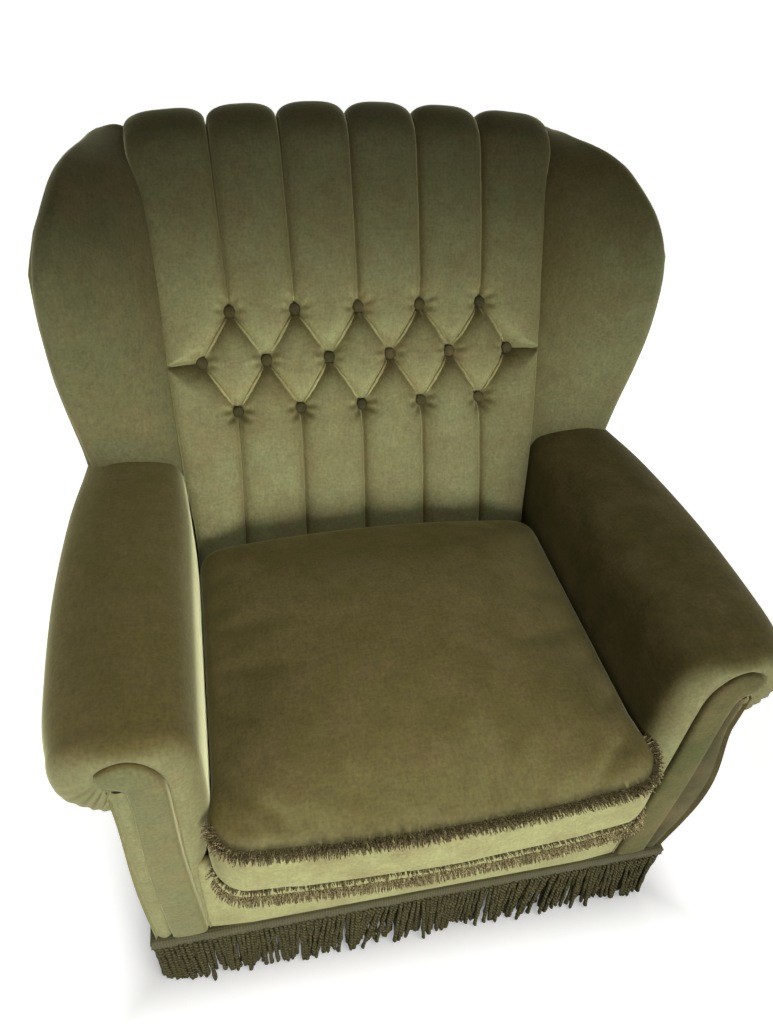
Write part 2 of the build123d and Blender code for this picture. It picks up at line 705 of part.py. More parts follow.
stations = [
    (blend(groove_line, BACK_BASE_Z), BACK_BASE_Z, 0.0),
    (blend(groove_line, BACK_SEAT_Z - 20), BACK_SEAT_Z - 20, 8.0),
    (blend(groove_line, WING_BASE_Z), WING_BASE_Z, 22.0),
    (blend(groove_line, ROW_3_Z), ROW_3_Z, 24.0),
    (blend(groove_line, ROW_1_Z), ROW_1_Z, 26.0),
    (blend(groove_line, ROLL_START_Z), ROLL_START_Z, 29.0),
    (blend(groove_line, BACK_TOP_Z) + 2, BACK_TOP_Z - 4, 46.0),
    (blend(groove_line, BACK_TOP_Z) + 32, BACK_TOP_Z, 90.0),
    (rear_y(BACK_TOP_Z) - OUTSIDE_BACK_THICK * 2.4, BACK_TOP_Z - 14, 130.0),
]
station_crowns = [0.7, 1.0, 1.0, 1.0, 1.0, 1.0, 0.95, 0.8, 0.3]
FLUTE_GAP = 0.6


def flute_form(index):
    """One flute from the seat to the top roll, as D-shaped slices."""
    with BuildPart() as flute:
        for (y, z, lean), crown in zip(stations, station_crowns):
            width = 2 * blend(back_half, z) / FLUTE_COUNT
            left = -blend(back_half, z) + index * width + FLUTE_GAP
            right = left + width - 2 * FLUTE_GAP
            with BuildSketch(flute_station(y, z, lean)):
                with BuildLine():
                    ThreePointArc(
                        (left, FLUTE_SINK),
                        ((left + right) / 2, -FLUTE_CROWN * crown),
                        (right, FLUTE_SINK),
                    )
                    Line((right, FLUTE_SINK), (left, FLUTE_SINK))
                make_face()
        loft(ruled=True)
    return flute.part


row_lean = math.degrees(math.atan2(blend(groove_line, ROW_1_Z) - blend(groove_line, ROW_3_Z), ROW_1_Z - ROW_3_Z))
quilt_plane = Plane(
    origin=(0, blend(groove_line, ROW_2_Z), ROW_2_Z),
    x_dir=(1, 0, 0),
    z_dir=(0, -math.cos(math.radians(row_lean)), math.sin(math.radians(row_lean))),
)
row_rise = (ROW_1_Z - ROW_3_Z) / 2 / math.cos(math.radians(row_lean))
outer_row = [((i - (FLUTE_COUNT - 2) / 2) * ROW_PITCH) for i in range(FLUTE_COUNT - 1)]
middle_row = [((i - (FLUTE_COUNT - 1) / 2) * ROW_PITCH) for i in range(FLUTE_COUNT)]
button_spots = (
    [(x, row_rise) for x in outer_row] + [(x, 0.0) for x in middle_row] + [(x, -row_rise) for x in outer_row]
)
seam_lines = []
for x in outer_row:
    for rise in (row_rise, -row_rise):
        for step in (-ROW_PITCH / 2, ROW_PITCH / 2):
            seam_lines.append(((x, rise), (x + step, 0.0)))
for side in SIDES.values():
    seam_lines.append(((side * middle_row[-1], 0.0), (side * (row_half + 6), 0.0)))

roll_half = BACK_TOP_HALF - 8.0
PIT_DEPTH_LEFT = FLUTE_SINK + 1.0
with BuildPart() as inside_back:
    slab_levels = [z for z, _ in groove_line[:-1]] + [SADDLE_Z + 8.0]
    for z in slab_levels:
        front = blend(groove_line, z) - FLUTE_SINK
        rear = min(pad_rear_y(z), post_front_y(min(z, TOP_RAIL_Z)) - CLEAR)
        with BuildSketch(Plane.XY.offset(z)):
            with Locations((0, (front + rear) / 2)):
                Rectangle(2 * blend(back_half, z), rear - front)
    loft(ruled=True)
    add([flute_form(index) for index in range(FLUTE_COUNT)])
    # The roll that carries the flutes over the top rail
    with BuildSketch(Plane.YZ.offset(-roll_half)):
        with BuildLine():
            Polyline(
                (blend(groove_line, SADDLE_Z) + 8, SADDLE_Z),
                (rear_y(SADDLE_Z) - OUTSIDE_BACK_THICK * REAR_RUN - 1.5, SADDLE_Z),
                (rear_y(SADDLE_Z) - OUTSIDE_BACK_THICK * REAR_RUN - 1.0, BACK_TOP_Z - 16),
                (blend(groove_line, BACK_TOP_Z) + 34, BACK_TOP_Z + FLUTE_SINK),
                (blend(groove_line, BACK_TOP_Z) + 4, BACK_TOP_Z - 2),
                close=True,
            )
        make_face()
    extrude(amount=2 * roll_half)
    # Quilted diamonds between the outer rows of buttons
    for x in outer_row:
        with BuildSketch(quilt_plane.offset(-FLUTE_SINK)):
            with Locations((x, 0)):
                with BuildLine():
                    Polyline((-ROW_PITCH / 2, 0), (0, row_rise), (ROW_PITCH / 2, 0), (0, -row_rise), close=True)
                make_face()
        with BuildSketch(quilt_plane.offset(FLUTE_CROWN)):
            with Locations((x, 0)):
                with BuildLine():
                    Polyline(
                        (-ROW_PITCH * 0.2, 0),
                        (0, row_rise * 0.4),
                        (ROW_PITCH * 0.2, 0),
                        (0, -row_rise * 0.4),
                        close=True,
                    )
                make_face()
        loft()
    # Sewn seams pulled in along the diamonds and out to both sides
    for start, end in seam_lines:
        run = math.hypot(end[0] - start[0], end[1] - start[1])
        seam_plane = Plane(
            origin=quilt_plane.from_local_coords(Vector(*start, 0)),
            x_dir=quilt_plane.z_dir,
            z_dir=quilt_plane.from_local_coords(Vector(*end, 0)) - quilt_plane.from_local_coords(Vector(*start, 0)),
        )
        with BuildSketch(seam_plane):
            with BuildLine():
                Polyline(
                    (PIT_DEPTH_LEFT, 0),
                    (FLUTE_CROWN + 12, GROOVE_HALF),
                    (FLUTE_CROWN + 12, -GROOVE_HALF),
                    close=True,
                )
            make_face()
        extrude(amount=run, mode=Mode.SUBTRACT)
    # Pits that the buttons are tied into
    with BuildSketch(quilt_plane.offset(PIT_DEPTH_LEFT)):
        with Locations(*button_spots):
            Circle(BUTTON_RADIUS + 2.5)
    extrude(amount=FLUTE_CROWN + 14, taper=-12, mode=Mode.SUBTRACT)
save(inside_back.part, "inside_back")

with BuildPart() as back_buttons:
    with BuildSketch(quilt_plane.offset(PIT_DEPTH_LEFT + CLEAR)):
        with Locations(*button_spots):
            Circle(BUTTON_RADIUS)
    extrude(amount=BUTTON_HEIGHT)
    rims = back_buttons.edges().filter_by(GeomType.CIRCLE)
    front_rims = rims.filter_by(
        lambda rim: quilt_plane.to_local_coords(rim.arc_center).Z > PIT_DEPTH_LEFT + BUTTON_HEIGHT / 2
    )
    fillet(front_rims, BUTTON_HEIGHT * 0.6)
save(back_buttons.part, "back_buttons")

# Webbing straps across the two stiles, behind the stuffing
web_step = (TOP_RAIL_Z - WEB_WIDTH - RAIL_TOP - WEB_WIDTH) / (BACK_WEB_COUNT - 1)
with BuildPart() as back_webbing:
    for strap in range(BACK_WEB_COUNT):
        low = RAIL_TOP + WEB_WIDTH / 2 + strap * web_step
        with BuildSketch(Plane.YZ.offset(-STILE_OUT)):
            with BuildLine():
                Polyline(
                    (stile_y(low) - BACK_WEB_THICK, low),
                    (stile_y(low), low),
                    (stile_y(low + WEB_WIDTH), low + WEB_WIDTH),
                    (stile_y(low + WEB_WIDTH) - BACK_WEB_THICK, low + WEB_WIDTH),
                    close=True,
                )
            make_face()
        extrude(amount=2 * STILE_OUT)
save(back_webbing.part, "back_webbing")

# Wings by height: how far in front of the flutes the wing meets the back, and how far its outer
# edge stands in and back from the wing's widest and foremost lines
wing_levels = [
    (WING_BASE_Z, 6.0, 19.0, 0.0),
    (ROW_3_Z, 4.0, 11.0, 0.0),
    (ROW_2_Z - 21.0, 6.0, 5.0, 0.0),
    (ROW_1_Z - 8.0, 8.0, 0.0, -6.0),
    (BACK_TOP_Z - 122.0, 32.0, 2.0, 4.0),
    (BACK_TOP_Z - 69.0, 27.0, 19.0, 48.0),
    (BACK_TOP_Z - 32.0, 23.0, 51.0, 142.0),
]
wing_edge_x = SEAT_HALF + WING_WIDTH
wing_edge_y = FRONT_Y + SEAT_DEPTH + WING_ADVANCE


def wing_corners(level):
    """Inner line, edge and rear corners of a wing at one level, in X and Y."""
    z, advance, edge_in, edge_back = level
    inner = Vector(blend(back_half, z) + SOFT_CLEAR, blend(groove_line, z) - advance)
    edge = Vector(wing_edge_x - edge_in, wing_edge_y + edge_back)
    rear_outer = Vector(REAR_POST_OUT + CLEAR, post_front_y(z) - CLEAR)
    rear_inner = Vector(inner.X, post_front_y(z) - CLEAR)
    return inner, edge, rear_outer, rear_inner


with BuildPart() as wing_pad:
    for level in wing_levels:
        inner, edge, rear_outer, rear_inner = wing_corners(level)
        along = (edge - inner).normalized()
        back_along = (rear_outer - edge).normalized()
        near = edge - along * (WING_EDGE / 2)
        far = edge + back_along * (WING_EDGE / 2)
        with BuildSketch(Plane.XY.offset(level[0])):
            with BuildLine():
                Line(inner, near)
                ThreePointArc(near, edge * 0.72 + (near + far) * 0.14, far)
                Polyline(far, rear_outer, rear_inner, inner)
            make_face()
    loft(ruled=True)
save_pair(wing_pad.part, "wing_pad")


def wing_skin(step, thick, start, rear_gap):
    """A board or panel on the outside of a wing: step out from the stuffing, start back from the edge."""
    with BuildPart() as skin:
        for level in wing_levels:
            _, edge, rear_outer, _ = wing_corners(level)
            run = (rear_outer - edge).normalized()
            out = Vector(-run.Y, run.X) if run.Y < 0 else Vector(run.Y, -run.X)
            first = edge + run * start
            last = Vector(rear_outer.X, rear_outer.Y)
            tail = Vector(rear_outer.X + step, post_rear_y(level[0]) - rear_gap)
            with BuildSketch(Plane.XY.offset(level[0])):
                with BuildLine():
                    Polyline(
                        first + out * step,
                        first + out * (step + thick),
                        last + Vector(step + thick, 0),
                        tail + Vector(thick, 0),
                        tail,
                        last + Vector(step, 0),
                        close=True,
                    )
                make_face()
        loft(ruled=True)
    return skin.part


save_pair(wing_skin(CLEAR, WING_BOARD, WING_EDGE * 0.8, 0.0), "wing_frame")
save_pair(wing_skin(WING_BOARD + 2 * CLEAR, WING_PANEL, WING_EDGE * 0.55, 0.0), "outside_wing")

# Outside back, one leaning panel with rounded top corners
rear_lean = math.atan(REAR_SLOPE)
outside_back_plane = Plane(
    origin=(0, REAR_BASE_Y + (FRINGE_TOP - RAIL_BOTTOM) * REAR_SLOPE, FRINGE_TOP),
    x_dir=(1, 0, 0),
    z_dir=(0, -math.cos(rear_lean), math.sin(rear_lean)),
)
outside_back_high = (REAR_TOP_Z - FRINGE_TOP) * REAR_RUN
with BuildPart() as outside_back:
    with BuildSketch(outside_back_plane) as panel:
        with Locations((0, outside_back_high / 2)):
            Rectangle(2 * OUTSIDE_ARM_OUT, outside_back_high)
        fillet(panel.vertices().group_by(Axis.Y)[-1], OUTSIDE_BACK_CORNER)
    extrude(amount=OUTSIDE_BACK_THICK)
save(outside_back.part, "outside_back")

# Bullion fringe: a woven heading with a row of hanging strands, one run for each side of the base
heading_low = FRINGE_TOP - HEADING_HEIGHT
fringe_front = ARM_FRONT - FACING_THICK
fringe_rear = rear_y(FRINGE_TOP) + CLEAR
fringe_out = OUTSIDE_ARM_OUT + CLEAR


def fringe_run(origin, direction, length):
    """One straight run of fringe from origin along direction, hanging outside the base."""
    plane = Plane(origin=(origin[0], origin[1], heading_low), x_dir=direction, z_dir=(0, 0, 1))
    count = int(length // STRAND_PITCH)
    with BuildPart() as run:
        with BuildSketch(plane):
            with Locations((length / 2, -HEADING_THICK / 2)):
                Rectangle(length, HEADING_THICK)
        extrude(amount=HEADING_HEIGHT)
        with BuildSketch(plane):
            with Locations((length / 2, -HEADING_THICK / 2)):
                with GridLocations(length / count, 1, count, 1):
                    Rectangle(STRAND_WIDTH * 0.7, STRAND_WIDTH * 0.7, rotation=45)
        extrude(amount=-(heading_low - FRINGE_FLOOR))
    return run.part


run_wide = 2 * fringe_out
run_deep = fringe_rear - fringe_front
save(fringe_run((-fringe_out, fringe_front), (1, 0, 0), run_wide), "fringe_front")
save(fringe_run((fringe_out, fringe_front), (0, 1, 0), run_deep), "fringe_right")
save(fringe_run((fringe_out, fringe_rear), (-1, 0, 0), run_wide), "fringe_back")
save(fringe_run((-fringe_out, fringe_rear), (0, -1, 0), run_deep), "fringe_left")
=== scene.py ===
"""Looks of an upholstered wing armchair with a fluted, buttoned back and a bullion fringe."""

import json
import math
import random

import bmesh
import bpy
from bpy.props import FloatProperty, FloatVectorProperty, IntProperty, PointerProperty
from mathutils import Matrix, Vector
from mathutils.bvhtree import BVHTree


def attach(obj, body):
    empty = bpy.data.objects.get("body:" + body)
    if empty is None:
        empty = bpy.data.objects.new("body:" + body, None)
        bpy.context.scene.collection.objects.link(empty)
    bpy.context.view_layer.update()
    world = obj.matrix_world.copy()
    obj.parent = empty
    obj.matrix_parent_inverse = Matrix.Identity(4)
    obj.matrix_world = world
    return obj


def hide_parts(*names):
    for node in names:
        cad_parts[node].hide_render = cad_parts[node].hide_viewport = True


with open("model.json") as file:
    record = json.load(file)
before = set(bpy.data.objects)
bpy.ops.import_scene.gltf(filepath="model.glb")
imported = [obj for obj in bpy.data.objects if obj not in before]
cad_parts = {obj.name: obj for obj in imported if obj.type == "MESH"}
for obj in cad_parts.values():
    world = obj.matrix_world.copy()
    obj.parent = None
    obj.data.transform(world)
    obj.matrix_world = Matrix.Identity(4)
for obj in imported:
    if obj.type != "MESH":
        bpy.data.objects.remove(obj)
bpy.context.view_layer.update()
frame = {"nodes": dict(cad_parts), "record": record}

bl_info = {
    "name": "Wing armchair",
    "version": (1, 0, 0),
    "blender": (4, 5, 0),
    "location": "3D View > Sidebar > Armchair",
    "description": "Dresses the frame of a wing armchair in mohair velvet and fringe",
    "category": "Object",
}

CHAIR = "chair"
CUSHION = "seat_cushion"
SIDES = {"right": 1.0, "left": -1.0}

# Where the flutes' grooves run in Y and Z, from behind the cushion, over the top roll and down behind it
GROOVE_LINE = [
    (0.086, 0.252), (0.087, 0.330), (0.090, 0.405), (0.141, 0.539), (0.160, 0.583), (0.190, 0.646),
    (0.219, 0.7095), (0.261, 0.792), (0.303, 0.864), (0.327, 0.902), (0.346, 0.917), (0.365, 0.921),
    (0.381, 0.914), (0.390, 0.897), (0.392, 0.875),
]
# The roll's crest: behind its depth the back keeps the width and the pitch that it has at its height
ROLL_CREST_Y = 0.350
ROLL_CREST_Z = 0.93
# Steps along the whole line, and those of them that lie in front of the crest
LINE_STEPS = 600
FRONT_STEPS = 450
# Heights of the upper, the middle and the lower row of buttons
ROWS_Z = (0.7095, 0.646, 0.5825)
# Columns of the mesh to one flute
PER_FLUTE = 40
# Half width of the back, and the flutes' pitch, by height
BACK_HALF = [
    (0.25, 0.262), (0.42, 0.262), (0.50, 0.2695), (0.585, 0.2745), (0.646, 0.278), (0.71, 0.281),
    (0.814, 0.287), (0.868, 0.293), (0.90, 0.301), (0.93, 0.304),
]
FLUTE_PITCH = [(0.25, 0.0935), (0.40, 0.0935), (0.5825, 0.0915), (0.7095, 0.092), (0.93, 0.0965)]

# One arm in X and Z: the full slice, and the flat facing that its front rounds into
ARM_LOW = [(0.2745, 0.123), (0.2735, 0.290)]
FACING_LINE = [
    (0.2835, 0.123), (0.2915, 0.262), (0.2950, 0.360), (0.2955, 0.455), (0.2985, 0.497), (0.3130, 0.523),
    (0.3310, 0.533), (0.3470, 0.529), (0.3570, 0.522), (0.3610, 0.515), (0.3600, 0.507), (0.3550, 0.4985),
    (0.3460, 0.491), (0.3380, 0.4835), (0.3370, 0.452), (0.3395, 0.300), (0.3320, 0.123),
]
# Slices of the arm by depth: inner face, outer edge and top
ARM_SLICES = [
    (-0.334, 0.262, 0.412, 0.5465), (-0.280, 0.262, 0.421, 0.549), (-0.130, 0.262, 0.428, 0.549),
    (0.020, 0.2620, 0.424, 0.5455), (0.124, 0.269, 0.414, 0.540), (0.200, 0.272, 0.406, 0.537),
    (0.290, 0.272, 0.396, 0.535), (0.334, 0.274, 0.391, 0.532), (0.350, 0.280, 0.380, 0.522),
]
FACING_Y = -0.3665
# The facing's padded profile: share of its width, and how far it stands out
FACING_ROLL = [
    (0.035, -0.008), (0.035, 0.0), (0.055, 0.0030), (0.10, 0.0048), (0.2, 0.0058), (0.5, 0.0064),
    (0.8, 0.0058), (0.90, 0.0048), (0.945, 0.0030), (0.965, 0.0), (0.965, -0.008),
]
# The seam behind the facing: share of the way to the arm's full slice, and depth
FACING_SEAM = [(-0.02, 0.012), (0.0, 0.004), (0.03, 0.0)]

# Wing: the outer corner of its board, and how far back the board turns straight, by height
BOARD_CORNER = [
    (0.50, (0.400, 0.153)), (0.545, (0.403, 0.153)), (0.60, (0.411, 0.153)), (0.66, (0.417, 0.150)),
    (0.74, (0.419, 0.150)), (0.80, (0.418, 0.156)), (0.84, (0.407, 0.188)), (0.865, (0.394, 0.224)),
    (0.885, (0.377, 0.275)), (0.90, (0.364, 0.313)),
]
# Wing: the middle of its rounded outer edge, from inside the arm to the top
WING_EDGE = [
    (0.389, 0.128, 0.500), (0.396, 0.127, 0.534), (0.404, 0.127, 0.584), (0.412, 0.124, 0.640),
    (0.4155, 0.119, 0.710), (0.4135, 0.128, 0.790), (0.4035, 0.160, 0.844), (0.391, 0.222, 0.879),
    (0.384, 0.262, 0.8895), (0.375, 0.305, 0.8925), (0.366, 0.352, 0.889), (0.361, 0.392, 0.884),
    (0.3575, 0.421, 0.8765),
]
WING_ROUND = 0.021

# Lower edge of the covers, and the slope of the platform and of the cushion on it
BASE_Z = 0.123
SEAT_TILT = math.radians(3.6)
CUSHION_HALF = 0.2610
CUSHION_DEPTH = 0.464
CUSHION_BORDER = 0.085
# How the cushion's cover behaves while its filling swells it
COVER_CLOTH = {
    "quality": 5, "mass": 0.3, "tension_stiffness": 25, "compression_stiffness": 25, "shear_stiffness": 15,
    "bending_stiffness": 4, "shrink_min": -0.008, "use_pressure": True,
}
SWELL_FRAMES = 20
# Brush fringe: roots round the whole cushion, how far back they go on its sides, and roots to a bundle
FRINGE_ROOTS = 1700
FRINGE_REACH = 0.075
FRINGE_BUNDLE = 60

# Bullion fringe: height where the cords hang from, their length, and how near they come to the floor
CORD_TOP = 0.125
CORD_LENGTH = 0.120
CORD_FLOOR = 0.0025
# Heading over the cords: how far out, and height
HEADING_PROFILE = [
    (-0.004, 0.1210), (0.0018, 0.1212), (0.0034, 0.1235), (0.0026, 0.1265), (0.0026, 0.1330),
    (0.0032, 0.1360), (0.0018, 0.1385), (-0.004, 0.1388), (-0.018, 0.1370),
]


def rear_y(z):
    """The outer face of the outside back at height z."""
    return 0.300 + (z - 0.125) * 0.125 / 0.780


def clamp(value):
    """The value, kept between nothing and one."""
    return max(0.0, min(1.0, value))


def read_table(table, at):
    """A value between the rows of a short table."""
    if at <= table[0][0]:
        return table[0][1]
    for (a, first), (b, second) in zip(table, table[1:]):
        if at <= b:
            return first + (second - first) * (at - a) / (b - a)
    return table[-1][1]


def smooth_run(points, steps):
    """A smooth run of points through the given ones, with steps points to each span."""
    points = [Vector(p) for p in points]
    run = []
    for i in range(len(points) - 1):
        before = points[max(i - 1, 0)]
        a, b = points[i], points[i + 1]
        after = points[min(i + 2, len(points) - 1)]
        for k in range(steps):
            t = k / steps
            run.append(
                0.5 * (
                    2 * a
                    + (b - before) * t
                    + (2 * before - 5 * a + 4 * b - after) * t * t
                    + (3 * a - before - 3 * b + after) * t * t * t
                )
            )
    run.append(points[-1])
    return run


def even_run(points, count):
    """The same line as points, resampled to count points of even spacing."""
    lengths = [0.0]
    for a, b in zip(points, points[1:]):
        lengths.append(lengths[-1] + (b - a).length)
    run = []
    at = 0
    for k in range(count):
        want = lengths[-1] * k / (count - 1)
        while at < len(points) - 2 and lengths[at + 1] < want:
            at += 1
        span = lengths[at + 1] - lengths[at]
        run.append(points[at].lerp(points[at + 1], (want - lengths[at]) / span if span else 0.0))
    return run


def skin(rows, closed=False):
    """A bmesh grid laid over rows of points; closed joins the first and last point of each row."""
    columns = len(rows[0]) + (1 if closed else 0)
    bm = bmesh.new()
    bmesh.ops.create_grid(bm, x_segments=columns - 1, y_segments=len(rows) - 1, size=0.5)
    bm.verts.ensure_lookup_table()
    for j, row in enumerate(rows):
        for i in range(columns):
            bm.verts[j * columns + i].co = row[i % len(row)]
    if closed:
        bmesh.ops.remove_doubles(bm, verts=bm.verts, dist=1e-6)
    return bm


def cap_ends(bm):
    """Closes the open ends of a skin."""
    rim = [edge for edge in bm.edges if edge.is_boundary]
    bmesh.ops.holes_fill(bm, edges=rim, sides=0)


def mirrored(bm, side):
    """Turns a right-hand piece into a left-hand one where side is -1."""
    if side < 0:
        bmesh.ops.scale(bm, vec=(-1, 1, 1), verts=bm.verts)
        bmesh.ops.reverse_faces(bm, faces=bm.faces)


def standing(point, direction):
    """The place of something that stands on a point and rises in a direction."""
    return Matrix.Translation(point) @ direction.to_track_quat("Z", "Y").to_matrix().to_4x4()


def turned_rim(bm):
    """Draws a second rim out of the open rim of a cover, and gives its points to be moved."""
    rim = [edge for edge in bm.edges if edge.is_boundary]
    turned = bmesh.ops.extrude_edge_only(bm, edges=rim)
    return [v for v in turned["geom"] if isinstance(v, bmesh.types.BMVert)]


def pour(bm, other):
    """Moves all of one bmesh into another."""
    mesh = bpy.data.meshes.new("poured")
    other.to_mesh(mesh)
    bm.from_mesh(mesh)
    bpy.data.meshes.remove(mesh)
    other.clear()


def make_piece(name, bm, material, body=CHAIR, replaces=(), outward=True):
    """Makes one finished piece from a bmesh, in a material of FINISHES, hangs it on its body and hides the
    parts it replaces.
    """
    if outward:
        bmesh.ops.recalc_face_normals(bm, faces=bm.faces)
    mesh = bpy.data.meshes.new(name)
    bm.to_mesh(mesh)
    bm.free()
    mesh.materials.append(finish(material))
    mesh.polygons.foreach_set("use_smooth", [True] * len(mesh.polygons))
    piece = bpy.data.objects.new(name, mesh)
    bpy.context.scene.collection.objects.link(piece)
    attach(piece, body)
    if replaces:
        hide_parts(*replaces)
    return piece


def add_node(tree, kind, inputs=None, **settings):
    """Adds a shader node with its settings. An input takes a value, a socket, or a node's first output."""
    made = tree.nodes.new(kind)
    for name, value in settings.items():
        setattr(made, name, value)
    for name, value in (inputs or {}).items():
        if isinstance(value, bpy.types.Node):
            value = value.outputs[0]
        if isinstance(value, bpy.types.NodeSocket):
            tree.links.new(value, made.inputs[name])
        else:
            made.inputs[name].default_value = value
    return made


def linear(code):
    """Linear RGBA from an sRGB hex colour."""
    channels = [int(code[i:i + 2], 16) / 255 for i in (1, 3, 5)]
    return tuple(c / 12.92 if c <= 0.04045 else ((c + 0.055) / 1.055) ** 2.4 for c in channels) + (1.0,)


def mohair_velvet(tree, place, side=None, root=None, sheen=0.9, tilt=0.0):
    """Mohair velvet: a dense pile, dark on tops and pale on upright faces, partly its nap and partly painted
    shade.
    """
    colours = bpy.context.scene.armchair_colours
    normal = add_node(tree, "ShaderNodeNewGeometry").outputs["Normal"]
    # Patches where the nap leans or has browned, tufts drawn 4 mm wide to show at arm's length, finger marks
    patches, aged, tufts, marks = (
        add_node(tree, "ShaderNodeTexNoise", {"Vector": place, "Scale": 1 / size, "Detail": detail})
        for size, detail in ((0.085, 2.0), (0.05, 4.0), (0.004, 4.0), (0.018, 2.0))
    )
    # Partly the nap brushed down and back, partly painted shade: faces turned to the front or rear take the
    # pale sides of the pile, tops and the sides of the arms take its dark roots
    across = add_node(tree, "ShaderNodeVectorMath", {0: normal}, operation="ABSOLUTE")
    facing = add_node(tree, "ShaderNodeVectorMath", {0: across, 1: (0.12, 1.0, 0.0)}, operation="DOT_PRODUCT")
    leaning = add_node(
        tree, "ShaderNodeMath", {0: patches, 1: 0.36, 2: facing.outputs["Value"]}, operation="MULTIPLY_ADD")
    nap_and_shade = add_node(
        tree, "ShaderNodeMapRange",
        {"Value": leaning, "From Min": 0.50, "From Max": 1.16, "To Min": 1.0, "To Max": 0.0})
    pile = add_node(tree, "ShaderNodeMixRGB", {
        "Fac": nap_and_shade,
        "Color1": linear(side) if side else (*colours.pile_side, 1.0),
        "Color2": linear(root) if root else (*colours.pile_root, 1.0),
    })
    # Years of use have turned the green a little brown in patches of a few fingers' width
    browned = add_node(
        tree, "ShaderNodeMapRange", {"Value": aged, "From Min": 0.40, "From Max": 0.68, "To Max": 0.42})
    faded = add_node(tree, "ShaderNodeMixRGB", {"Fac": browned, "Color1": pile, "Color2": linear("#776846")})
    # Short slubs of the ground weave, about 2 mm thick and 20 mm long, across and along
    slubs = []
    for stretch in ((45.0, 420.0, 420.0), (420.0, 60.0, 60.0)):
        drawn = add_node(tree, "ShaderNodeMapping", {"Vector": place, "Scale": stretch})
        slubs.append(add_node(tree, "ShaderNodeTexNoise", {"Vector": drawn, "Scale": 1.0, "Detail": 2.0}))
    weave = add_node(tree, "ShaderNodeMath", {0: slubs[0], 1: slubs[1]}, operation="ADD")
    grain = add_node(tree, "ShaderNodeMath", {0: weave, 1: 0.42, 2: tufts}, operation="MULTIPLY_ADD")
    flecks = add_node(tree, "ShaderNodeMath", {0: marks, 1: 0.45, 2: grain}, operation="MULTIPLY_ADD")
    height = add_node(tree, "ShaderNodeSeparateXYZ", {"Vector": place}).outputs["Z"]
    upward = add_node(tree, "ShaderNodeSeparateXYZ", {"Vector": normal}).outputs["Z"]
    level = 1.0
    for value, low, high, start, end in (
        # Flecks of the grain
        (flecks, 0.85, 1.43, 0.80, 1.20),
        # Painted light and shade: paler from 0.53 to 0.60 m up, and darker from 0.73 m up towards the top
        (height, 0.53, 0.60, 1.0, 1.18),
        (height, 0.73, 0.885, 1.0, 0.58),
        # With a tilt, painted light and shade: paler where the surface turns down, darker where it turns up
        (upward, 0.02, 0.82, 1 + tilt, 1 - tilt),
    ):
        tone = add_node(
            tree, "ShaderNodeMapRange",
            {"Value": value, "From Min": low, "From Max": high, "To Min": start, "To Max": end})
        level = add_node(tree, "ShaderNodeMath", {0: level, 1: tone}, operation="MULTIPLY")
    return {
        "Base Color": add_node(tree, "ShaderNodeVectorMath", {0: faded, "Scale": level}, operation="SCALE"),
        "Normal": add_node(tree, "ShaderNodeBump", {"Height": grain, "Strength": 0.30, "Distance": 0.0009}),
        "Roughness": 0.95, "Specular IOR Level": 0.15,
        "Sheen Weight": sheen, "Sheen Roughness": 0.35, "Sheen Tint": linear("#dfe0ae"),
    }


def two_tones(tree, value, low, high, dark, pale):
    """A colour that goes from dark to pale while a value goes from low to high."""
    share = add_node(tree, "ShaderNodeMapRange", {"Value": value, "From Min": low, "From Max": high})
    return add_node(tree, "ShaderNodeMixRGB", {"Fac": share, "Color1": linear(dark), "Color2": linear(pale)})


def yarn(tree, place, dark, pale, size):
    """Dyed wool yarn: matt, each thread a little lighter or darker than the next."""
    threads = add_node(tree, "ShaderNodeTexNoise", {"Vector": place, "Scale": 1 / size, "Detail": 3.0})
    dyed = two_tones(tree, threads, 0.34, 0.68, dark, pale)
    relief = add_node(tree, "ShaderNodeBump", {"Height": threads, "Strength": 0.4, "Distance": 0.0006})
    return {"Base Color": dyed, "Normal": relief, "Roughness": 0.9, "Specular IOR Level": 0.1}


def plied_cord(tree, place, dark, pale, turns):
    """Plied cotton cord: two plies twisted round each other, a dark line in each turn, matt."""
    round_and_down = add_node(tree, "ShaderNodeUVMap", uv_map="twist")
    twist = (4 * math.pi, 2 * math.pi * turns, 0.0)
    turned = add_node(tree, "ShaderNodeVectorMath", {0: round_and_down, 1: twist}, operation="DOT_PRODUCT")
    plies = add_node(tree, "ShaderNodeMath", {0: turned.outputs["Value"]}, operation="SINE")
    threads = add_node(tree, "ShaderNodeTexNoise", {"Vector": place, "Scale": 1 / 0.006, "Detail": 3.0})
    mixed = add_node(tree, "ShaderNodeMath", {0: threads, 1: 2.4, 2: plies}, operation="MULTIPLY_ADD")
    dyed = two_tones(tree, mixed, 0.1, 2.5, dark, pale)
    relief = add_node(tree, "ShaderNodeBump", {"Height": plies, "Strength": 0.6, "Distance": 0.0010})
    return {"Base Color": dyed, "Normal": relief, "Roughness": 0.9, "Specular IOR Level": 0.1}


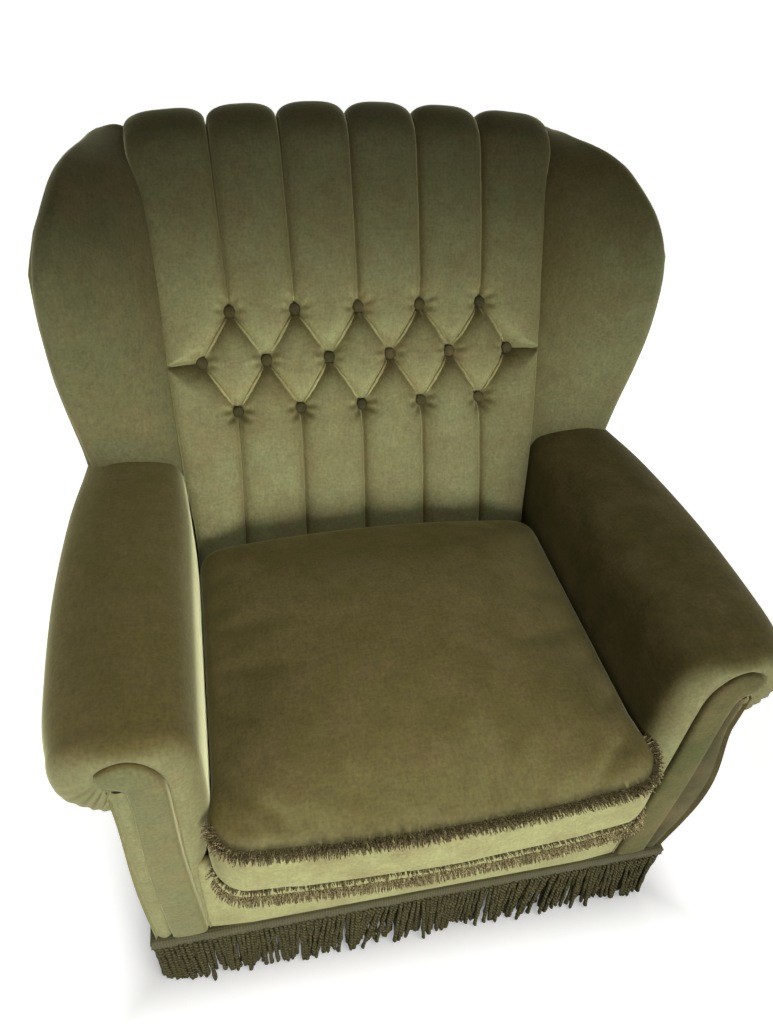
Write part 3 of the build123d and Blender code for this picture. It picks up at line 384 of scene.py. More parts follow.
def plain_weave(tree, place, dark, pale, thread):
    """Plain woven cloth or tape: two sets of crossing threads, matt, with dark gaps between them."""
    parts = add_node(tree, "ShaderNodeSeparateXYZ", {"Vector": place}).outputs
    crossed = 0.0
    for axis in ("X", "Y", "Z"):
        scaled = add_node(tree, "ShaderNodeMath", {0: parts[axis], 1: math.pi / thread}, operation="MULTIPLY")
        wave = add_node(tree, "ShaderNodeMath", {0: scaled}, operation="SINE")
        crossed = add_node(tree, "ShaderNodeMath", {0: wave, 1: crossed}, operation="ADD")
    worn = add_node(tree, "ShaderNodeTexNoise", {"Vector": place, "Scale": 1 / 0.02, "Detail": 4.0})
    mixed = add_node(tree, "ShaderNodeMath", {0: crossed, 1: 0.4, 2: worn}, operation="MULTIPLY_ADD")
    dyed = two_tones(tree, mixed, -0.4, 1.4, dark, pale)
    relief = add_node(tree, "ShaderNodeBump", {"Height": crossed, "Strength": 0.3, "Distance": 0.0005})
    return {"Base Color": dyed, "Normal": relief, "Roughness": 0.88}


def timber(tree, place, dark, pale, gloss):
    """Planed or turned hardwood: long grain in one direction with short pale flecks."""
    drawn = add_node(tree, "ShaderNodeMapping", {"Vector": place, "Scale": (160.0, 160.0, 12.0)})
    grain = add_node(tree, "ShaderNodeTexNoise", {"Vector": drawn, "Scale": 1.0, "Detail": 5.0})
    toned = two_tones(tree, grain, 0.3, 0.7, dark, pale)
    relief = add_node(tree, "ShaderNodeBump", {"Height": grain, "Strength": 0.15, "Distance": 0.0004})
    return {"Base Color": toned, "Normal": relief, "Roughness": gloss}


def drawn_steel(tree, place):
    """Drawn steel wire and plain screws: grey metal with a faint dull film."""
    film = add_node(tree, "ShaderNodeTexNoise", {"Vector": place, "Scale": 1 / 0.01, "Detail": 4.0})
    dull = add_node(tree, "ShaderNodeMapRange", {"Value": film, "To Min": 0.3, "To Max": 0.6})
    return {"Base Color": linear("#8d8c88"), "Metallic": 1.0, "Roughness": dull}


def moulded_glide(tree, place):
    """Moulded polypropylene glide: brown, satin, scuffed underneath."""
    scuffs = add_node(tree, "ShaderNodeTexNoise", {"Vector": place, "Scale": 1 / 0.004, "Detail": 5.0})
    worn = two_tones(tree, scuffs, 0.0, 1.0, "#2b221b", "#4a3d32")
    return {"Base Color": worn, "Roughness": 0.5}


def seen_ray(tree):
    """One for rays that show the background to the eye: seen directly, in a gloss or through glass."""
    path = add_node(tree, "ShaderNodeLightPath").outputs
    direct = add_node(
        tree, "ShaderNodeMath", {0: path["Is Camera Ray"], 1: path["Is Glossy Ray"]}, operation="MAXIMUM")
    return add_node(tree, "ShaderNodeMath", {0: direct, 1: path["Is Transmission Ray"]}, operation="MAXIMUM")


def seamless_paper(tree, place):
    """Pale seamless paper: matt white with a faint mottle, brightened for the camera only, with painted
    shadow near and under the chair.
    """
    mottle = add_node(tree, "ShaderNodeTexNoise", {"Vector": place, "Scale": 6.0, "Detail": 2.0})
    white = two_tones(tree, mottle, 0.0, 1.0, "#eeedea", "#f5f4f2")
    # Painted shade: the glow is weaker near the chair than far off
    away = add_node(tree, "ShaderNodeVectorMath", {0: place}, operation="LENGTH").outputs["Value"]
    bright = add_node(
        tree, "ShaderNodeMapRange",
        {"Value": away, "From Min": 0.7, "From Max": 2.2, "To Min": 0.70, "To Max": 0.93})
    # Painted shadow: no glow under the chair, where its own shadow is
    spread = add_node(tree, "ShaderNodeVectorMath", {0: place}, operation="ABSOLUTE")
    sides = add_node(tree, "ShaderNodeSeparateXYZ", {"Vector": spread}).outputs
    nearest = add_node(tree, "ShaderNodeMath", {0: sides["X"], 1: sides["Y"]}, operation="MAXIMUM")
    clear = add_node(
        tree, "ShaderNodeMapRange", {"Value": nearest, "From Min": 0.32, "From Max": 0.46},
        interpolation_type="SMOOTHSTEP")
    level = add_node(tree, "ShaderNodeMath", {0: bright, 1: clear}, operation="MULTIPLY")
    glow = add_node(tree, "ShaderNodeMath", {0: seen_ray(tree), 1: level}, operation="MULTIPLY")
    return {
        "Base Color": white, "Roughness": 0.95,
        "Emission Color": (1.0, 1.0, 1.0, 1.0), "Emission Strength": glow,
    }


# Every material by its name, with its maker and what sets it apart. Threads and yarns are given in metres
FINISHES = {
    "mohair_velvet": (mohair_velvet, {}),
    # Stuffed hard between the seams, with painted light and shade that follow every swell
    "quilted_mohair": (mohair_velvet, {"tilt": 0.42}),
    # The buttons: a dark copy with little sheen, painted shade
    "button_shaded_mohair": (mohair_velvet, {"side": "#3d3b24", "root": "#2d2815", "sheen": 0.15}),
    # The apron and the quilt folds: a paler copy, painted light
    "pale_lit_mohair": (mohair_velvet, {"side": "#999868"}),
    # The left wing: a darker copy with less sheen, painted shade
    "left_wing_shaded_mohair": (mohair_velvet, {"side": "#6c6c49", "root": "#575030", "sheen": 0.7}),
    # The right arm: darker roots and little sheen, painted shade
    "right_arm_shaded_mohair": (mohair_velvet, {"root": "#564e2b", "sheen": 0.15}),
    # The right facing and the strip beside it: darker copies, painted shade
    "right_facing_shaded_mohair": (mohair_velvet, {"side": "#50502f", "root": "#40391d", "sheen": 0.35}),
    "right_strip_shaded_mohair": (mohair_velvet, {"side": "#45412a", "sheen": 0.5}),
    # The left facing: a little darker than the arm behind it, painted shade
    "left_facing_shaded_mohair": (mohair_velvet, {"side": "#6b6c48"}),
    # The cushion: a copy paler on its border and darker on its top, painted light and shade
    "cushion_mohair": (mohair_velvet, {"side": "#939264", "root": "#635a32", "sheen": 0.5}),
    # Speckled tufts
    "brush_fringe_wool": (yarn, {"dark": "#2e2511", "pale": "#ad9f74", "size": 0.0016}),
    # Twisted cords, darker than the velvet
    "bullion_cotton": (plied_cord, {"dark": "#211f10", "pale": "#5c5737", "turns": 11.0}),
    # Flat matt bands and cloths whose threads just show
    "heading_tape": (plain_weave, {"dark": "#37341d", "pale": "#5a5534", "thread": 0.0018}),
    "platform_cotton": (plain_weave, {"dark": "#3b351d", "pale": "#57502f", "thread": 0.0014}),
    "jute_webbing": (plain_weave, {"dark": "#75592f", "pale": "#b3935c", "thread": 0.0024}),
    "dust_cambric": (plain_weave, {"dark": "#0e0e0d", "pale": "#1d1c1a", "thread": 0.0012}),
    "calico": (plain_weave, {"dark": "#b9ae92", "pale": "#d8cfb6", "thread": 0.0010}),
    # The frame's pale bare wood, and the dark polished wood of the feet
    "planed_beech": (timber, {"dark": "#a9824f", "pale": "#c9a674", "gloss": 0.6}),
    "stained_beech": (timber, {"dark": "#2a170c", "pale": "#46290f", "gloss": 0.35}),
    # Grey springs and screws, brown glides and the white floor
    "drawn_steel": (drawn_steel, {}),
    "moulded_polypropylene": (moulded_glide, {}),
    "seamless_paper": (seamless_paper, {}),
}
# What the pieces that keep their CAD shape are made of, by their slot
SLOT_FINISHES = {
    "beech": "planed_beech", "dark_wood": "stained_beech", "steel": "drawn_steel", "jute": "jute_webbing",
    "dust_cloth": "dust_cambric", "stuffing": "calico", "deck_cloth": "platform_cotton",
    "glide_plastic": "moulded_polypropylene",
}


def finish(name):
    """The material of that name, made when it is first asked for."""
    material = bpy.data.materials.get(name)
    if material is None:
        material = bpy.data.materials.new(name)
        material.use_nodes = True
        tree = material.node_tree
        tree.nodes.clear()
        place = add_node(tree, "ShaderNodeTexCoord").outputs["Object"]
        maker, options = FINISHES[name]
        shader = add_node(tree, "ShaderNodeBsdfPrincipled", maker(tree, place, **options))
        add_node(tree, "ShaderNodeOutputMaterial", {"Surface": shader})
    return material


class ArmchairSizes(bpy.types.PropertyGroup):
    """Sizes of the soft pieces that can be changed."""

    flute_crown: FloatProperty(
        name="Flute crown", description="How far a flute stands out of its grooves",
        default=0.0235, unit="LENGTH")
    button_radius: FloatProperty(
        name="Button radius", description="Half the width of a covered button",
        default=0.0085, unit="LENGTH")
    cushion_crown: FloatProperty(
        name="Cushion crown", description="Rise of the cushion's top above its seams",
        default=0.024, unit="LENGTH")
    brush_length: FloatProperty(
        name="Brush length", description="Length of the cushion's cut fringe", default=0.011, unit="LENGTH")
    cord_pitch: FloatProperty(
        name="Cord pitch", description="Spacing of the bullion cords", default=0.0061, unit="LENGTH")
    cord_width: FloatProperty(
        name="Cord width", description="Width of one bullion cord", default=0.0070, unit="LENGTH")
    cord_sway: FloatProperty(
        name="Cord sway", description="How far the cords hang out of line", default=0.045, subtype="ANGLE")
    seed: IntProperty(name="Seed", description="Sets the order of the loose strands", default=7)


class ArmchairColours(bpy.types.PropertyGroup):
    """Colours of the covers that can be changed."""

    # The two colours that the velvet is mixed between by which way a face turns: partly nap, partly painted
    # shade
    pile_side: FloatVectorProperty(
        name="Pile side", description="Velvet seen across its pile",
        subtype="COLOR", size=3, min=0.0, max=1.0, default=linear("#7e7e57")[:3])
    pile_root: FloatVectorProperty(
        name="Pile root", description="Velvet seen down into its pile",
        subtype="COLOR", size=3, min=0.0, max=1.0, default=linear("#6b6136")[:3])


def back_line():
    """The line of the grooves in the middle of the back, at even steps, and the length of a step."""
    line = even_run(smooth_run([(0, y, z) for y, z in GROOVE_LINE], 24), LINE_STEPS + 1)
    return line, (line[1] - line[0]).length


def back_front(line, j):
    """The direction that the back faces at one step of its line."""
    tangent = (line[min(j + 1, len(line) - 1)] - line[max(j - 1, 0)]).normalized()
    return Vector((0, -tangent.z, tangent.y))


def flute_bounds(z):
    """Where the six flutes begin and end across the back at height z."""
    half = read_table(BACK_HALF, z)
    pitch = read_table(FLUTE_PITCH, z)
    return [-half, -2 * pitch, -pitch, 0.0, pitch, 2 * pitch, half]


class InsideBack(bpy.types.Operator):
    """Makes the fluted inside back, quilted in diamonds between three rows of buttons"""

    bl_idname = "armchair.inside_back"
    bl_label = "Inside back"

    def execute(self, context):
        crown = context.scene.armchair_sizes.flute_crown
        line, step = back_line()
        seams = quilt_seams(line, step)
        rows = []
        j = 0
        while j < len(line):
            point = line[j]
            front = back_front(line, j)
            along = j * step
            bounds = flute_bounds(ROLL_CREST_Z if point.y > ROLL_CREST_Y else point.z)
            # Towards the top the outer flutes stand a little lower than the middle ones
            slope = clamp((point.z - 0.80) / 0.10)
            row = []
            for x in self.across(bounds):
                lift = quilt_height(x, along, bounds, seams, crown)
                row.append(point + front * lift + Vector((x, 0, -0.012 * slope * (x / 0.25) ** 2)))
            rows.append(row)
            # Rows lie closest in the diamonds, and closer on the roll than on the plain flutes
            quilted = seams["lower"] - 0.045 < along < seams["upper"] + 0.045
            j += 1 if quilted else 2 if point.z > 0.89 else 4
        bm = skin(rows)
        # The sides turn in behind the wings and the arms
        for vert in turned_rim(bm):
            vert.co += Vector((0, 0.014, -0.010) if vert.co.y < 0.33 else (0, -0.010, -0.015))
        # The quilted velvet paints light and shade by the slope of each swell
        piece = make_piece("inside_back_cover", bm, "quilted_mohair", replaces=["inside_back"], outward=False)
        return {"FINISHED"}

    @staticmethod
    def across(bounds):
        """Points across all the flutes, closer together at the grooves."""
        shares = [k / PER_FLUTE for k in range(PER_FLUTE)]
        shares = [0.6 * share + 0.4 * (0.5 - 0.5 * math.cos(math.pi * share)) for share in shares]
        return [a + (b - a) * share for a, b in zip(bounds, bounds[1:]) for share in shares] + [bounds[-1]]


def quilt_seams(line, step):
    """The rows of buttons and the seams between them, in X and in distance along the back."""
    upper, middle, lower = (
        step * min(range(FRONT_STEPS), key=lambda j: abs(line[j].z - z)) for z in ROWS_Z
    )
    buttons = {
        "upper": [(0.092 * (i - 2), upper) for i in range(5)],
        "middle": [(0.0913 * (i - 2.5), middle) for i in range(6)],
        "lower": [(0.0915 * (i - 2), lower) for i in range(5)],
    }
    diagonals = [
        (buttons[row][i], buttons["middle"][j])
        for i in range(5) for row in ("upper", "lower") for j in (i, i + 1)
    ]
    ends = middle - 0.003
    sides = [(buttons["middle"][0], (-0.281, ends)), (buttons["middle"][5], (0.281, ends))]
    return {
        "buttons": buttons, "diagonals": diagonals, "sides": sides,
        "upper": upper, "middle": middle, "lower": lower,
    }


def to_segment(x, y, start, end):
    """Distance from a point to a straight seam."""
    dx, dy = end[0] - start[0], end[1] - start[1]
    share = clamp(((x - start[0]) * dx + (y - start[1]) * dy) / (dx * dx + dy * dy))
    return math.hypot(x - start[0] - dx * share, y - start[1] - dy * share)


def pillow(distance, reach, fullness):
    """The swell of stuffing at a distance from its seam: steep at the seam and flat from reach on."""
    share = min(distance / reach, 1.0)
    return (1 - (1 - share) ** fullness) ** (1 / fullness)


def quilt_height(x, along, bounds, seams, crown):
    """How far the cover stands out of the line of the grooves at one point."""
    swell = pillow(min(x - bounds[0], bounds[6] - x), 0.046, 2.6)
    above, below = along - seams["upper"], seams["lower"] - along
    gap = max(0.0, min(-above, -below))
    for groove in bounds[1:6]:
        swell = min(swell, pillow(math.hypot(x - groove, gap), 0.046, 2.6))
    if above < 0.06 and below < 0.06:
        for start, end in seams["diagonals"]:
            crease = math.hypot(to_segment(x, along, start, end), 0.0015)
            swell = min(swell, 0.02 + 0.98 * pillow(crease, 0.042, 2.5))
        for start, end in seams["sides"]:
            reach = 0.026 if along > seams["middle"] else 0.05
            swell = min(swell, pillow(to_segment(x, along, start, end), reach, 2.6))
        for row in seams["buttons"].values():
            for bx, by in row:
                away = math.hypot(x - bx, along - by)
                if away < 0.05:
                    pull = 0.50 * math.exp(-((away / 0.0125) ** 2)) + 0.26 * math.exp(-((away / 0.026) ** 2))
                    turn = math.atan2(along - by, x - bx)
                    pucker = 0.05 * math.cos(7 * turn + 60 * bx) * math.exp(-(((away - 0.016) / 0.006) ** 2))
                    swell += pucker - pull
    return crown * max(swell, -0.22)


class BackButtons(bpy.types.Operator):
    """Makes the covered buttons, domed and sunk in the quilting"""

    bl_idname = "armchair.back_buttons"
    bl_label = "Back buttons"

    def execute(self, context):
        radius = context.scene.armchair_sizes.button_radius
        line, step = back_line()
        seams = quilt_seams(line, step)
        bm = bmesh.new()
        for row in seams["buttons"].values():
            for x, along in row:
                j = round(along / step)
                front = back_front(line, j)
                place = standing(line[j] + Vector((x, 0, 0)) + front * 0.0022, front)
                dome = bmesh.ops.create_uvsphere(
                    bm, u_segments=20, v_segments=12, radius=radius, matrix=place)
                bmesh.ops.scale(bm, vec=(1, 1, 0.55), space=place.inverted(), verts=dome["verts"])
        # The buttons' dark velvet is painted shade
        make_piece("covered_buttons", bm, "button_shaded_mohair", replaces=["back_buttons"])
        return {"FINISHED"}


class QuiltFolds(bpy.types.Operator):
    """Makes the slim pleats of velvet folded along the diagonal seams"""

    bl_idname = "armchair.quilt_folds"
    bl_label = "Quilt folds"

    def execute(self, context):
        crown = context.scene.armchair_sizes.flute_crown
        line, step = back_line()
        seams = quilt_seams(line, step)
        bm = bmesh.new()
        for start, end in seams["diagonals"]:
            rows = []
            for k in range(19):
                share = 0.13 + 0.74 * k / 18
                x = start[0] + (end[0] - start[0]) * share
                along = start[1] + (end[1] - start[1]) * share
                j = round(along / step)
                front = back_front(line, j)
                lift = quilt_height(x, along, flute_bounds(line[j].z), seams, crown) + 0.0013
                middle = line[j] + Vector((x, 0, 0)) + front * lift
                side = Vector((1 if end[1] > start[1] else -1, 0, 0))
                size = 0.0034 * math.sin(math.pi * (0.06 + 0.88 * k / 18)) ** 0.6
                turns = [2 * math.pi * i / 10 for i in range(10)]
                rows.append([
                    middle + side * (size * math.cos(turn)) + front * (size * math.sin(turn))
                    for turn in turns
                ])
            fold = skin(rows, closed=True)
            cap_ends(fold)
            pour(bm, fold)
            fold.free()
        # A paler velvet: painted highlight along the folds
        make_piece("quilt_folds", bm, "pale_lit_mohair")
        return {"FINISHED"}


def groove_y(z):
    """How far back the grooves are at height z, up to the top roll."""
    return read_table([(b, a) for a, b in GROOVE_LINE[:11]], z)


def wing_ribs(count):
    """Inner line, edge, across and front directions of the right wing from the arm to its top."""
    edge = even_run(smooth_run(WING_EDGE, 12), count)
    low, high = edge[0].z, edge[-1].z
    ribs = []
    for j in range(count):
        z = low + (high + 0.010 - low) * (j / (count - 1)) ** 0.8
        back = 0.048 * clamp((edge[j].y - 0.29) / 0.10)
        inner = Vector((read_table(BACK_HALF, z) - 0.016, groove_y(z) + 0.012 + back, z))
        tangent = (edge[min(j + 1, count - 1)] - edge[max(j - 1, 0)]).normalized()
        across = (edge[j] - inner).normalized()
        front = across.cross(tangent).normalized()
        ribs.append((inner, edge[j], across, front))
    return ribs


class Wings(bpy.types.Operator):
    """Makes the two stuffed wings and the flat covers on their outer sides"""

    bl_idname = "armchair.wings"
    bl_label = "Wings"

    def execute(self, context):
        for side_name, side in SIDES.items():
            rows = []
            for inner, edge, across, front in wing_ribs(64):
                near = edge - across * WING_ROUND + front * WING_ROUND
                row = []
                for k in range(16):
                    share = k / 16
                    puff = 0.014 * math.sin(math.pi * share ** 0.85)
                    row.append(inner.lerp(near, share) + front * puff)
                for k in range(13):
                    turn = math.pi * k / 12
                    row.append(
                        edge - across * WING_ROUND
                        + front * (WING_ROUND * math.cos(turn)) + across * (WING_ROUND * math.sin(turn))
                    )
                rear = edge - across * WING_ROUND - front * WING_ROUND
                for k in range(1, 5):
                    row.append(rear.lerp(inner - front * 0.03, k / 4))
                rows.append(row)
            bm = skin(rows, closed=True)
            cap_ends(bm)
            mirrored(bm, side)
            # The left wing's darker velvet is painted shade
            pile = "left_wing_shaded_mohair" if side < 0 else "mohair_velvet"
            piece = make_piece(f"wing_cover_{side_name}", bm, pile, replaces=[f"wing_pad_{side_name}"])
            panel = skin(self.panel_rows())
            mirrored(panel, side)
            piece = make_piece(
                f"outside_wing_cover_{side_name}", panel, "mohair_velvet",
                replaces=[f"outside_wing_{side_name}"], outward=False)
        return {"FINISHED"}

    @staticmethod
    def panel_rows():
        """Rows of the outer cover, stretched over the wing's board from its edge to the outside back."""
        board = [(z, Vector(corner)) for z, corner in BOARD_CORNER]
        edge = smooth_run(WING_EDGE, 24)
        rows = []
        for k in range(41):
            z = 0.502 + 0.3835 * (1 - (1 - k / 40) ** 2)
            start = next(p for p in edge if p.z >= z) - Vector((0.002, -0.005, 0))
            x, y = read_table(board, z)
            front = Vector((x + 0.003, max(y, start.y + 0.012), z))
            knee = Vector((0.3545, 0.325 + (z - 0.545) * 0.16, z))
            corner = Vector((0.3575, rear_y(z) - 0.005, z))
            middle = front.lerp(knee, 0.5) + Vector((0.003, 0, 0))
            rows.append(smooth_run([start, front, middle, knee, corner], 5))
        return rows


def arm_slice(inner, outer, top):
    """One full slice of the right arm in X and Z, with as many points as the facing line."""
    middle = (inner + outer) / 2 + 0.004
    return ARM_LOW + [
        (inner + 0.0005, 0.360), (inner, 0.470), (inner + 0.007, 0.512), (inner + 0.031, top - 0.010),
        (middle, top), (outer - 0.030, top - 0.006), (outer - 0.008, top - 0.024), (outer, top - 0.055),
        (outer - 0.006, top - 0.092), (outer - 0.028, 0.430), (0.364, 0.418), (0.347, 0.421), (0.3365, 0.410),
        (0.3370, 0.300), (0.3325, 0.123),
    ]


class Arms(bpy.types.Operator):
    """Makes the rolled arms, which round down into their scroll facings"""

    bl_idname = "armchair.arms"
    bl_label = "Arms"

    def execute(self, context):
        def spread(outline):
            return [Vector((p.x, 0, p.y)) for p in smooth_run([(x, z, 0) for x, z in outline], 8)]

        first = spread(arm_slice(*ARM_SLICES[0][1:]))
        facing = spread(FACING_LINE)
        keys = smooth_run([Vector((y, inner, outer)) for y, inner, outer, _ in ARM_SLICES], 7)
        tops = smooth_run([Vector((y, top, 0)) for y, _, _, top in ARM_SLICES], 7)
        for side_name, side in SIDES.items():
            rows = []
            # The seam dips behind the facing, then the cover rounds out to the full slice in small gathers
            for k in range(19):
                if k < len(FACING_SEAM):
                    out, depth = FACING_SEAM[k]
                else:
                    turn = math.pi / 2 * (k - 2) / 16
                    out = 0.03 + 0.97 * math.sin(turn)
                    depth = 0.0325 * (1 - math.cos(turn)) - 0.001
                full = max(0.0, math.sin(math.pi * min(out, 1.0)))
                row = []
                for number, (a, b) in enumerate(zip(facing, first)):
                    span = number / 8
                    gather = full * max(0.0, 1 - abs(span - 11.6) / 2.6)
                    fold = 0.0035 * gather * math.sin(2 * math.pi * 1.9 * span)
                    row.append(a.lerp(b, out) + Vector((0.3 * fold, FACING_Y + depth - fold, fold)))
                rows.append(row)
            for key, height in zip(keys[1:], tops[1:]):
                rows.append([
                    p + Vector((0, min(key.x, rear_y(p.z) - 0.010), 0))
                    for p in spread(arm_slice(key.y, key.z, height.y))
                ])
            bm = skin(rows, closed=True)
            cap_ends(bm)
            mirrored(bm, side)
            # The right arm's darker velvet is painted shade
            pile = "right_arm_shaded_mohair" if side > 0 else "mohair_velvet"
            piece = make_piece(f"arm_cover_{side_name}", bm, pile, replaces=[f"inside_arm_{side_name}"])
            self.facing(side_name, side)
        return {"FINISHED"}

    @staticmethod
    def facing(side_name, side):
        """The flat scroll facing with a soft rolled edge."""
        line = smooth_run([(x, FACING_Y, z) for x, z in FACING_LINE], 8)
        inner, outer = even_run(line[:73], 61), even_run(line[72:][::-1], 61)
        rows = []
        for a, b in zip(inner, outer):
            full = min(1.0, (b - a).length / 0.02)
            row = []
            for share, rise in FACING_ROLL:
                row.append(a.lerp(b, share) + Vector((0, -rise * (full if rise > 0 else 1.0), 0)))
            rows.append(row)
        bm = skin(rows)
        mirrored(bm, side)
        # Both facings are in darker copies of the velvet: painted shade
        pile = "right_facing_shaded_mohair" if side > 0 else "left_facing_shaded_mohair"
        piece = make_piece(f"arm_facing_cover_{side_name}", bm, pile, replaces=[f"arm_facing_{side_name}"])


def puffed_panel(corner_rows, columns, puff):
    """A padded panel between two side lines: its rows go from left to right and swell by puff."""
    rows = []
    count = len(corner_rows)
    for j, (left, right, out) in enumerate(corner_rows):
        rise = min(1.0, 6 * min(j, count - 1 - j) / (count - 1)) ** 0.5
        row = []
        for i in range(columns):
            share = i / (columns - 1)
            swell = min(1.0, 10 * min(share, 1 - share)) ** 0.5
            row.append(Vector(left).lerp(Vector(right), share) + Vector(out) * (puff * swell * rise))
        rows.append(row)
    return skin(rows)


class OutsideCovers(bpy.types.Operator):
    """Makes the outside arms, the outside back, the apron and the platform under the cushion"""

    bl_idname = "armchair.outside_covers"
    bl_label = "Outside covers"

    def execute(self, context):
        for side_name, side in SIDES.items():
            self.outside_arm(side_name, side)
        self.outside_back()
        self.apron()
        self.platform()
        return {"FINISHED"}

    @staticmethod
    def outside_back():
        """The plain outside back, with rounded upper corners."""
        heights = [(0.131 + (0.897 - 0.131) * k / 32, 0.0) for k in range(33)]
        # Its top turns forward under the roll
        heights += [(0.8985, 0.012), (0.8955, 0.036)]
        corner = 0.021
        rows = []
        for z, inward in heights:
            if not inward:
                half = 0.3355 + math.sqrt(max(0.0, corner ** 2 - max(0.0, z - 0.876) ** 2))
            y = rear_y(z) - 0.006 - inward
            rows.append(((-half, y, z), (half, y, z), (0, 0.99, -0.16)))
        bm = puffed_panel(rows, 41, 0.006)
        # Beside the roll the turned edge goes under the ends of the wings
        tucked = [v for v in bm.verts if v.co.y < rear_y(v.co.z) - 0.013 and abs(v.co.x) > 0.285]
        bmesh.ops.translate(bm, vec=(0, 0, -0.004), verts=tucked)
        bmesh.ops.recalc_face_normals(bm, faces=bm.faces)
        bmesh.ops.solidify(bm, geom=bm.faces, thickness=0.006)
        piece = make_piece("outside_back_cover", bm, "mohair_velvet", replaces=["outside_back"])

    @staticmethod
    def outside_arm(side_name, side):
        """The outside arm under the roll, with the narrow strip that shows beside the facing."""
        outline = [
            (0.334, FACING_Y + 0.008), (0.3365, FACING_Y), (0.344, FACING_Y - 0.003),
            (0.352, FACING_Y + 0.001), (0.3555, FACING_Y + 0.011),
            (0.358, -0.20), (0.358, 0.0), (0.356, 0.20),
        ]
        # The right side has sagged outwards more than the left
        sag = 0.026 if side > 0 else 0.004
        rows = []
        for k in range(25):
            z = BASE_Z + (0.487 - BASE_Z) * k / 24
            lean = -0.004 * (1 - k / 24)
            swell = sag * math.sin(math.pi * min(1.0, k / 20)) ** 1.3
            points = [(x + lean + swell * clamp((x - 0.3375) / 0.016), y, 0) for x, y in outline]
            points.append((0.3565, rear_y(z) - 0.003, 0))
            rows.append([Vector((p.x, p.y, z)) for p in smooth_run(points, 5)])
        bm = skin(rows)
        mirrored(bm, side)
        # The right strip's darker velvet is painted shade
        pile = "right_strip_shaded_mohair" if side > 0 else "mohair_velvet"
        piece = make_piece(f"outside_arm_cover_{side_name}", bm, pile, replaces=[f"outside_arm_{side_name}"])

    @staticmethod
    def apron():
        """The padded apron under the cushion, tucked in beside the arms."""
        rows = []
        for k in range(25):
            z = BASE_Z + (0.3075 - BASE_Z) * k / 24
            rows.append(((-0.288, -0.364, z), (0.288, -0.364, z), (0, -1, 0)))
        bm = puffed_panel(rows, 61, 0.0085)
        bmesh.ops.translate(bm, vec=(0, 0.008, 0), verts=turned_rim(bm))
        # A paler velvet: painted light on the apron
        piece = make_piece("apron_cover", bm, "pale_lit_mohair", replaces=["front_apron"])

    @staticmethod
    def platform():
        """The cloth-covered deck that the cushion lies on."""
        rows = []
        for k in range(31):
            y = -0.354 + (0.055 + 0.354) * k / 30
            z = 0.3045 - (y + 0.354) * math.tan(SEAT_TILT)
            rows.append(((-0.2605, y, z), (0.2605, y, z), (0, 0, 1)))
        bm = puffed_panel(rows, 41, 0.004)
        bmesh.ops.translate(bm, vec=(0, 0, -0.02), verts=turned_rim(bm))
        piece = make_piece("platform_cover", bm, "platform_cotton", replaces=["seat_deck"])


def cushion_space():
    """The cushion's own frame: X across, Y from its front to its back, Z up from its underside."""
    base = Vector((0, -0.4225, 0.3125))
    return Matrix.Translation(base) @ Matrix.Rotation(-SEAT_TILT, 4, "X")


def quarter(x, y, radius, start):
    """A quarter of a circle round a point, clockwise from the angle start, in degrees."""
    turns = [math.radians(start - 90 * k / 12) for k in range(13)]
    return [Vector((x + radius * math.cos(turn), y + radius * math.sin(turn), 0)) for turn in turns]


def cushion_line(pull, count):
    """The cushion's outline seen from above, drawn in by pull, from the middle of its back and round."""
    half, rear, bow = CUSHION_HALF - pull, CUSHION_DEPTH - pull, 0.010
    # In front of the arms the cushion spreads a little
    wide = half + 0.009
    round_front, round_back = max(0.044 - pull / 2, 0.012), max(0.028 - pull / 4, 0.012)
    points = [Vector((0, rear, 0))]
    points += quarter(half - round_back, rear - round_back, round_back, 90)
    if pull < 0.03:
        points += [Vector((half, 0.130, 0)), Vector((half, 0.100, 0))]
    points += quarter(wide - round_front, bow + pull + round_front, round_front, 0)
    front = points[-1]
    for k in range(1, 13):
        x = front.x * (1 - k / 12)
        points.append(Vector((x, pull + (front.y - pull) * (x / front.x) ** 2, 0)))
    mirror = [Vector((-p.x, p.y, 0)) for p in reversed(points[1:-1])]
    return even_run(points + mirror + [points[0]], count + 1)[:count]


def cushion_full(p):
    """How many times thicker the cushion is at p than at its front: most in the middle of its back."""
    share = p.y / CUSHION_DEPTH
    return 1 + 0.62 * share + 0.24 * share * share * (1 - (p.x / CUSHION_HALF) ** 2)


def front_droop(y):
    """How far the cushion hangs down over the front of the platform, y behind its own front."""
    return 0.008 * max(0.0, 1 - y / 0.09) ** 1.5


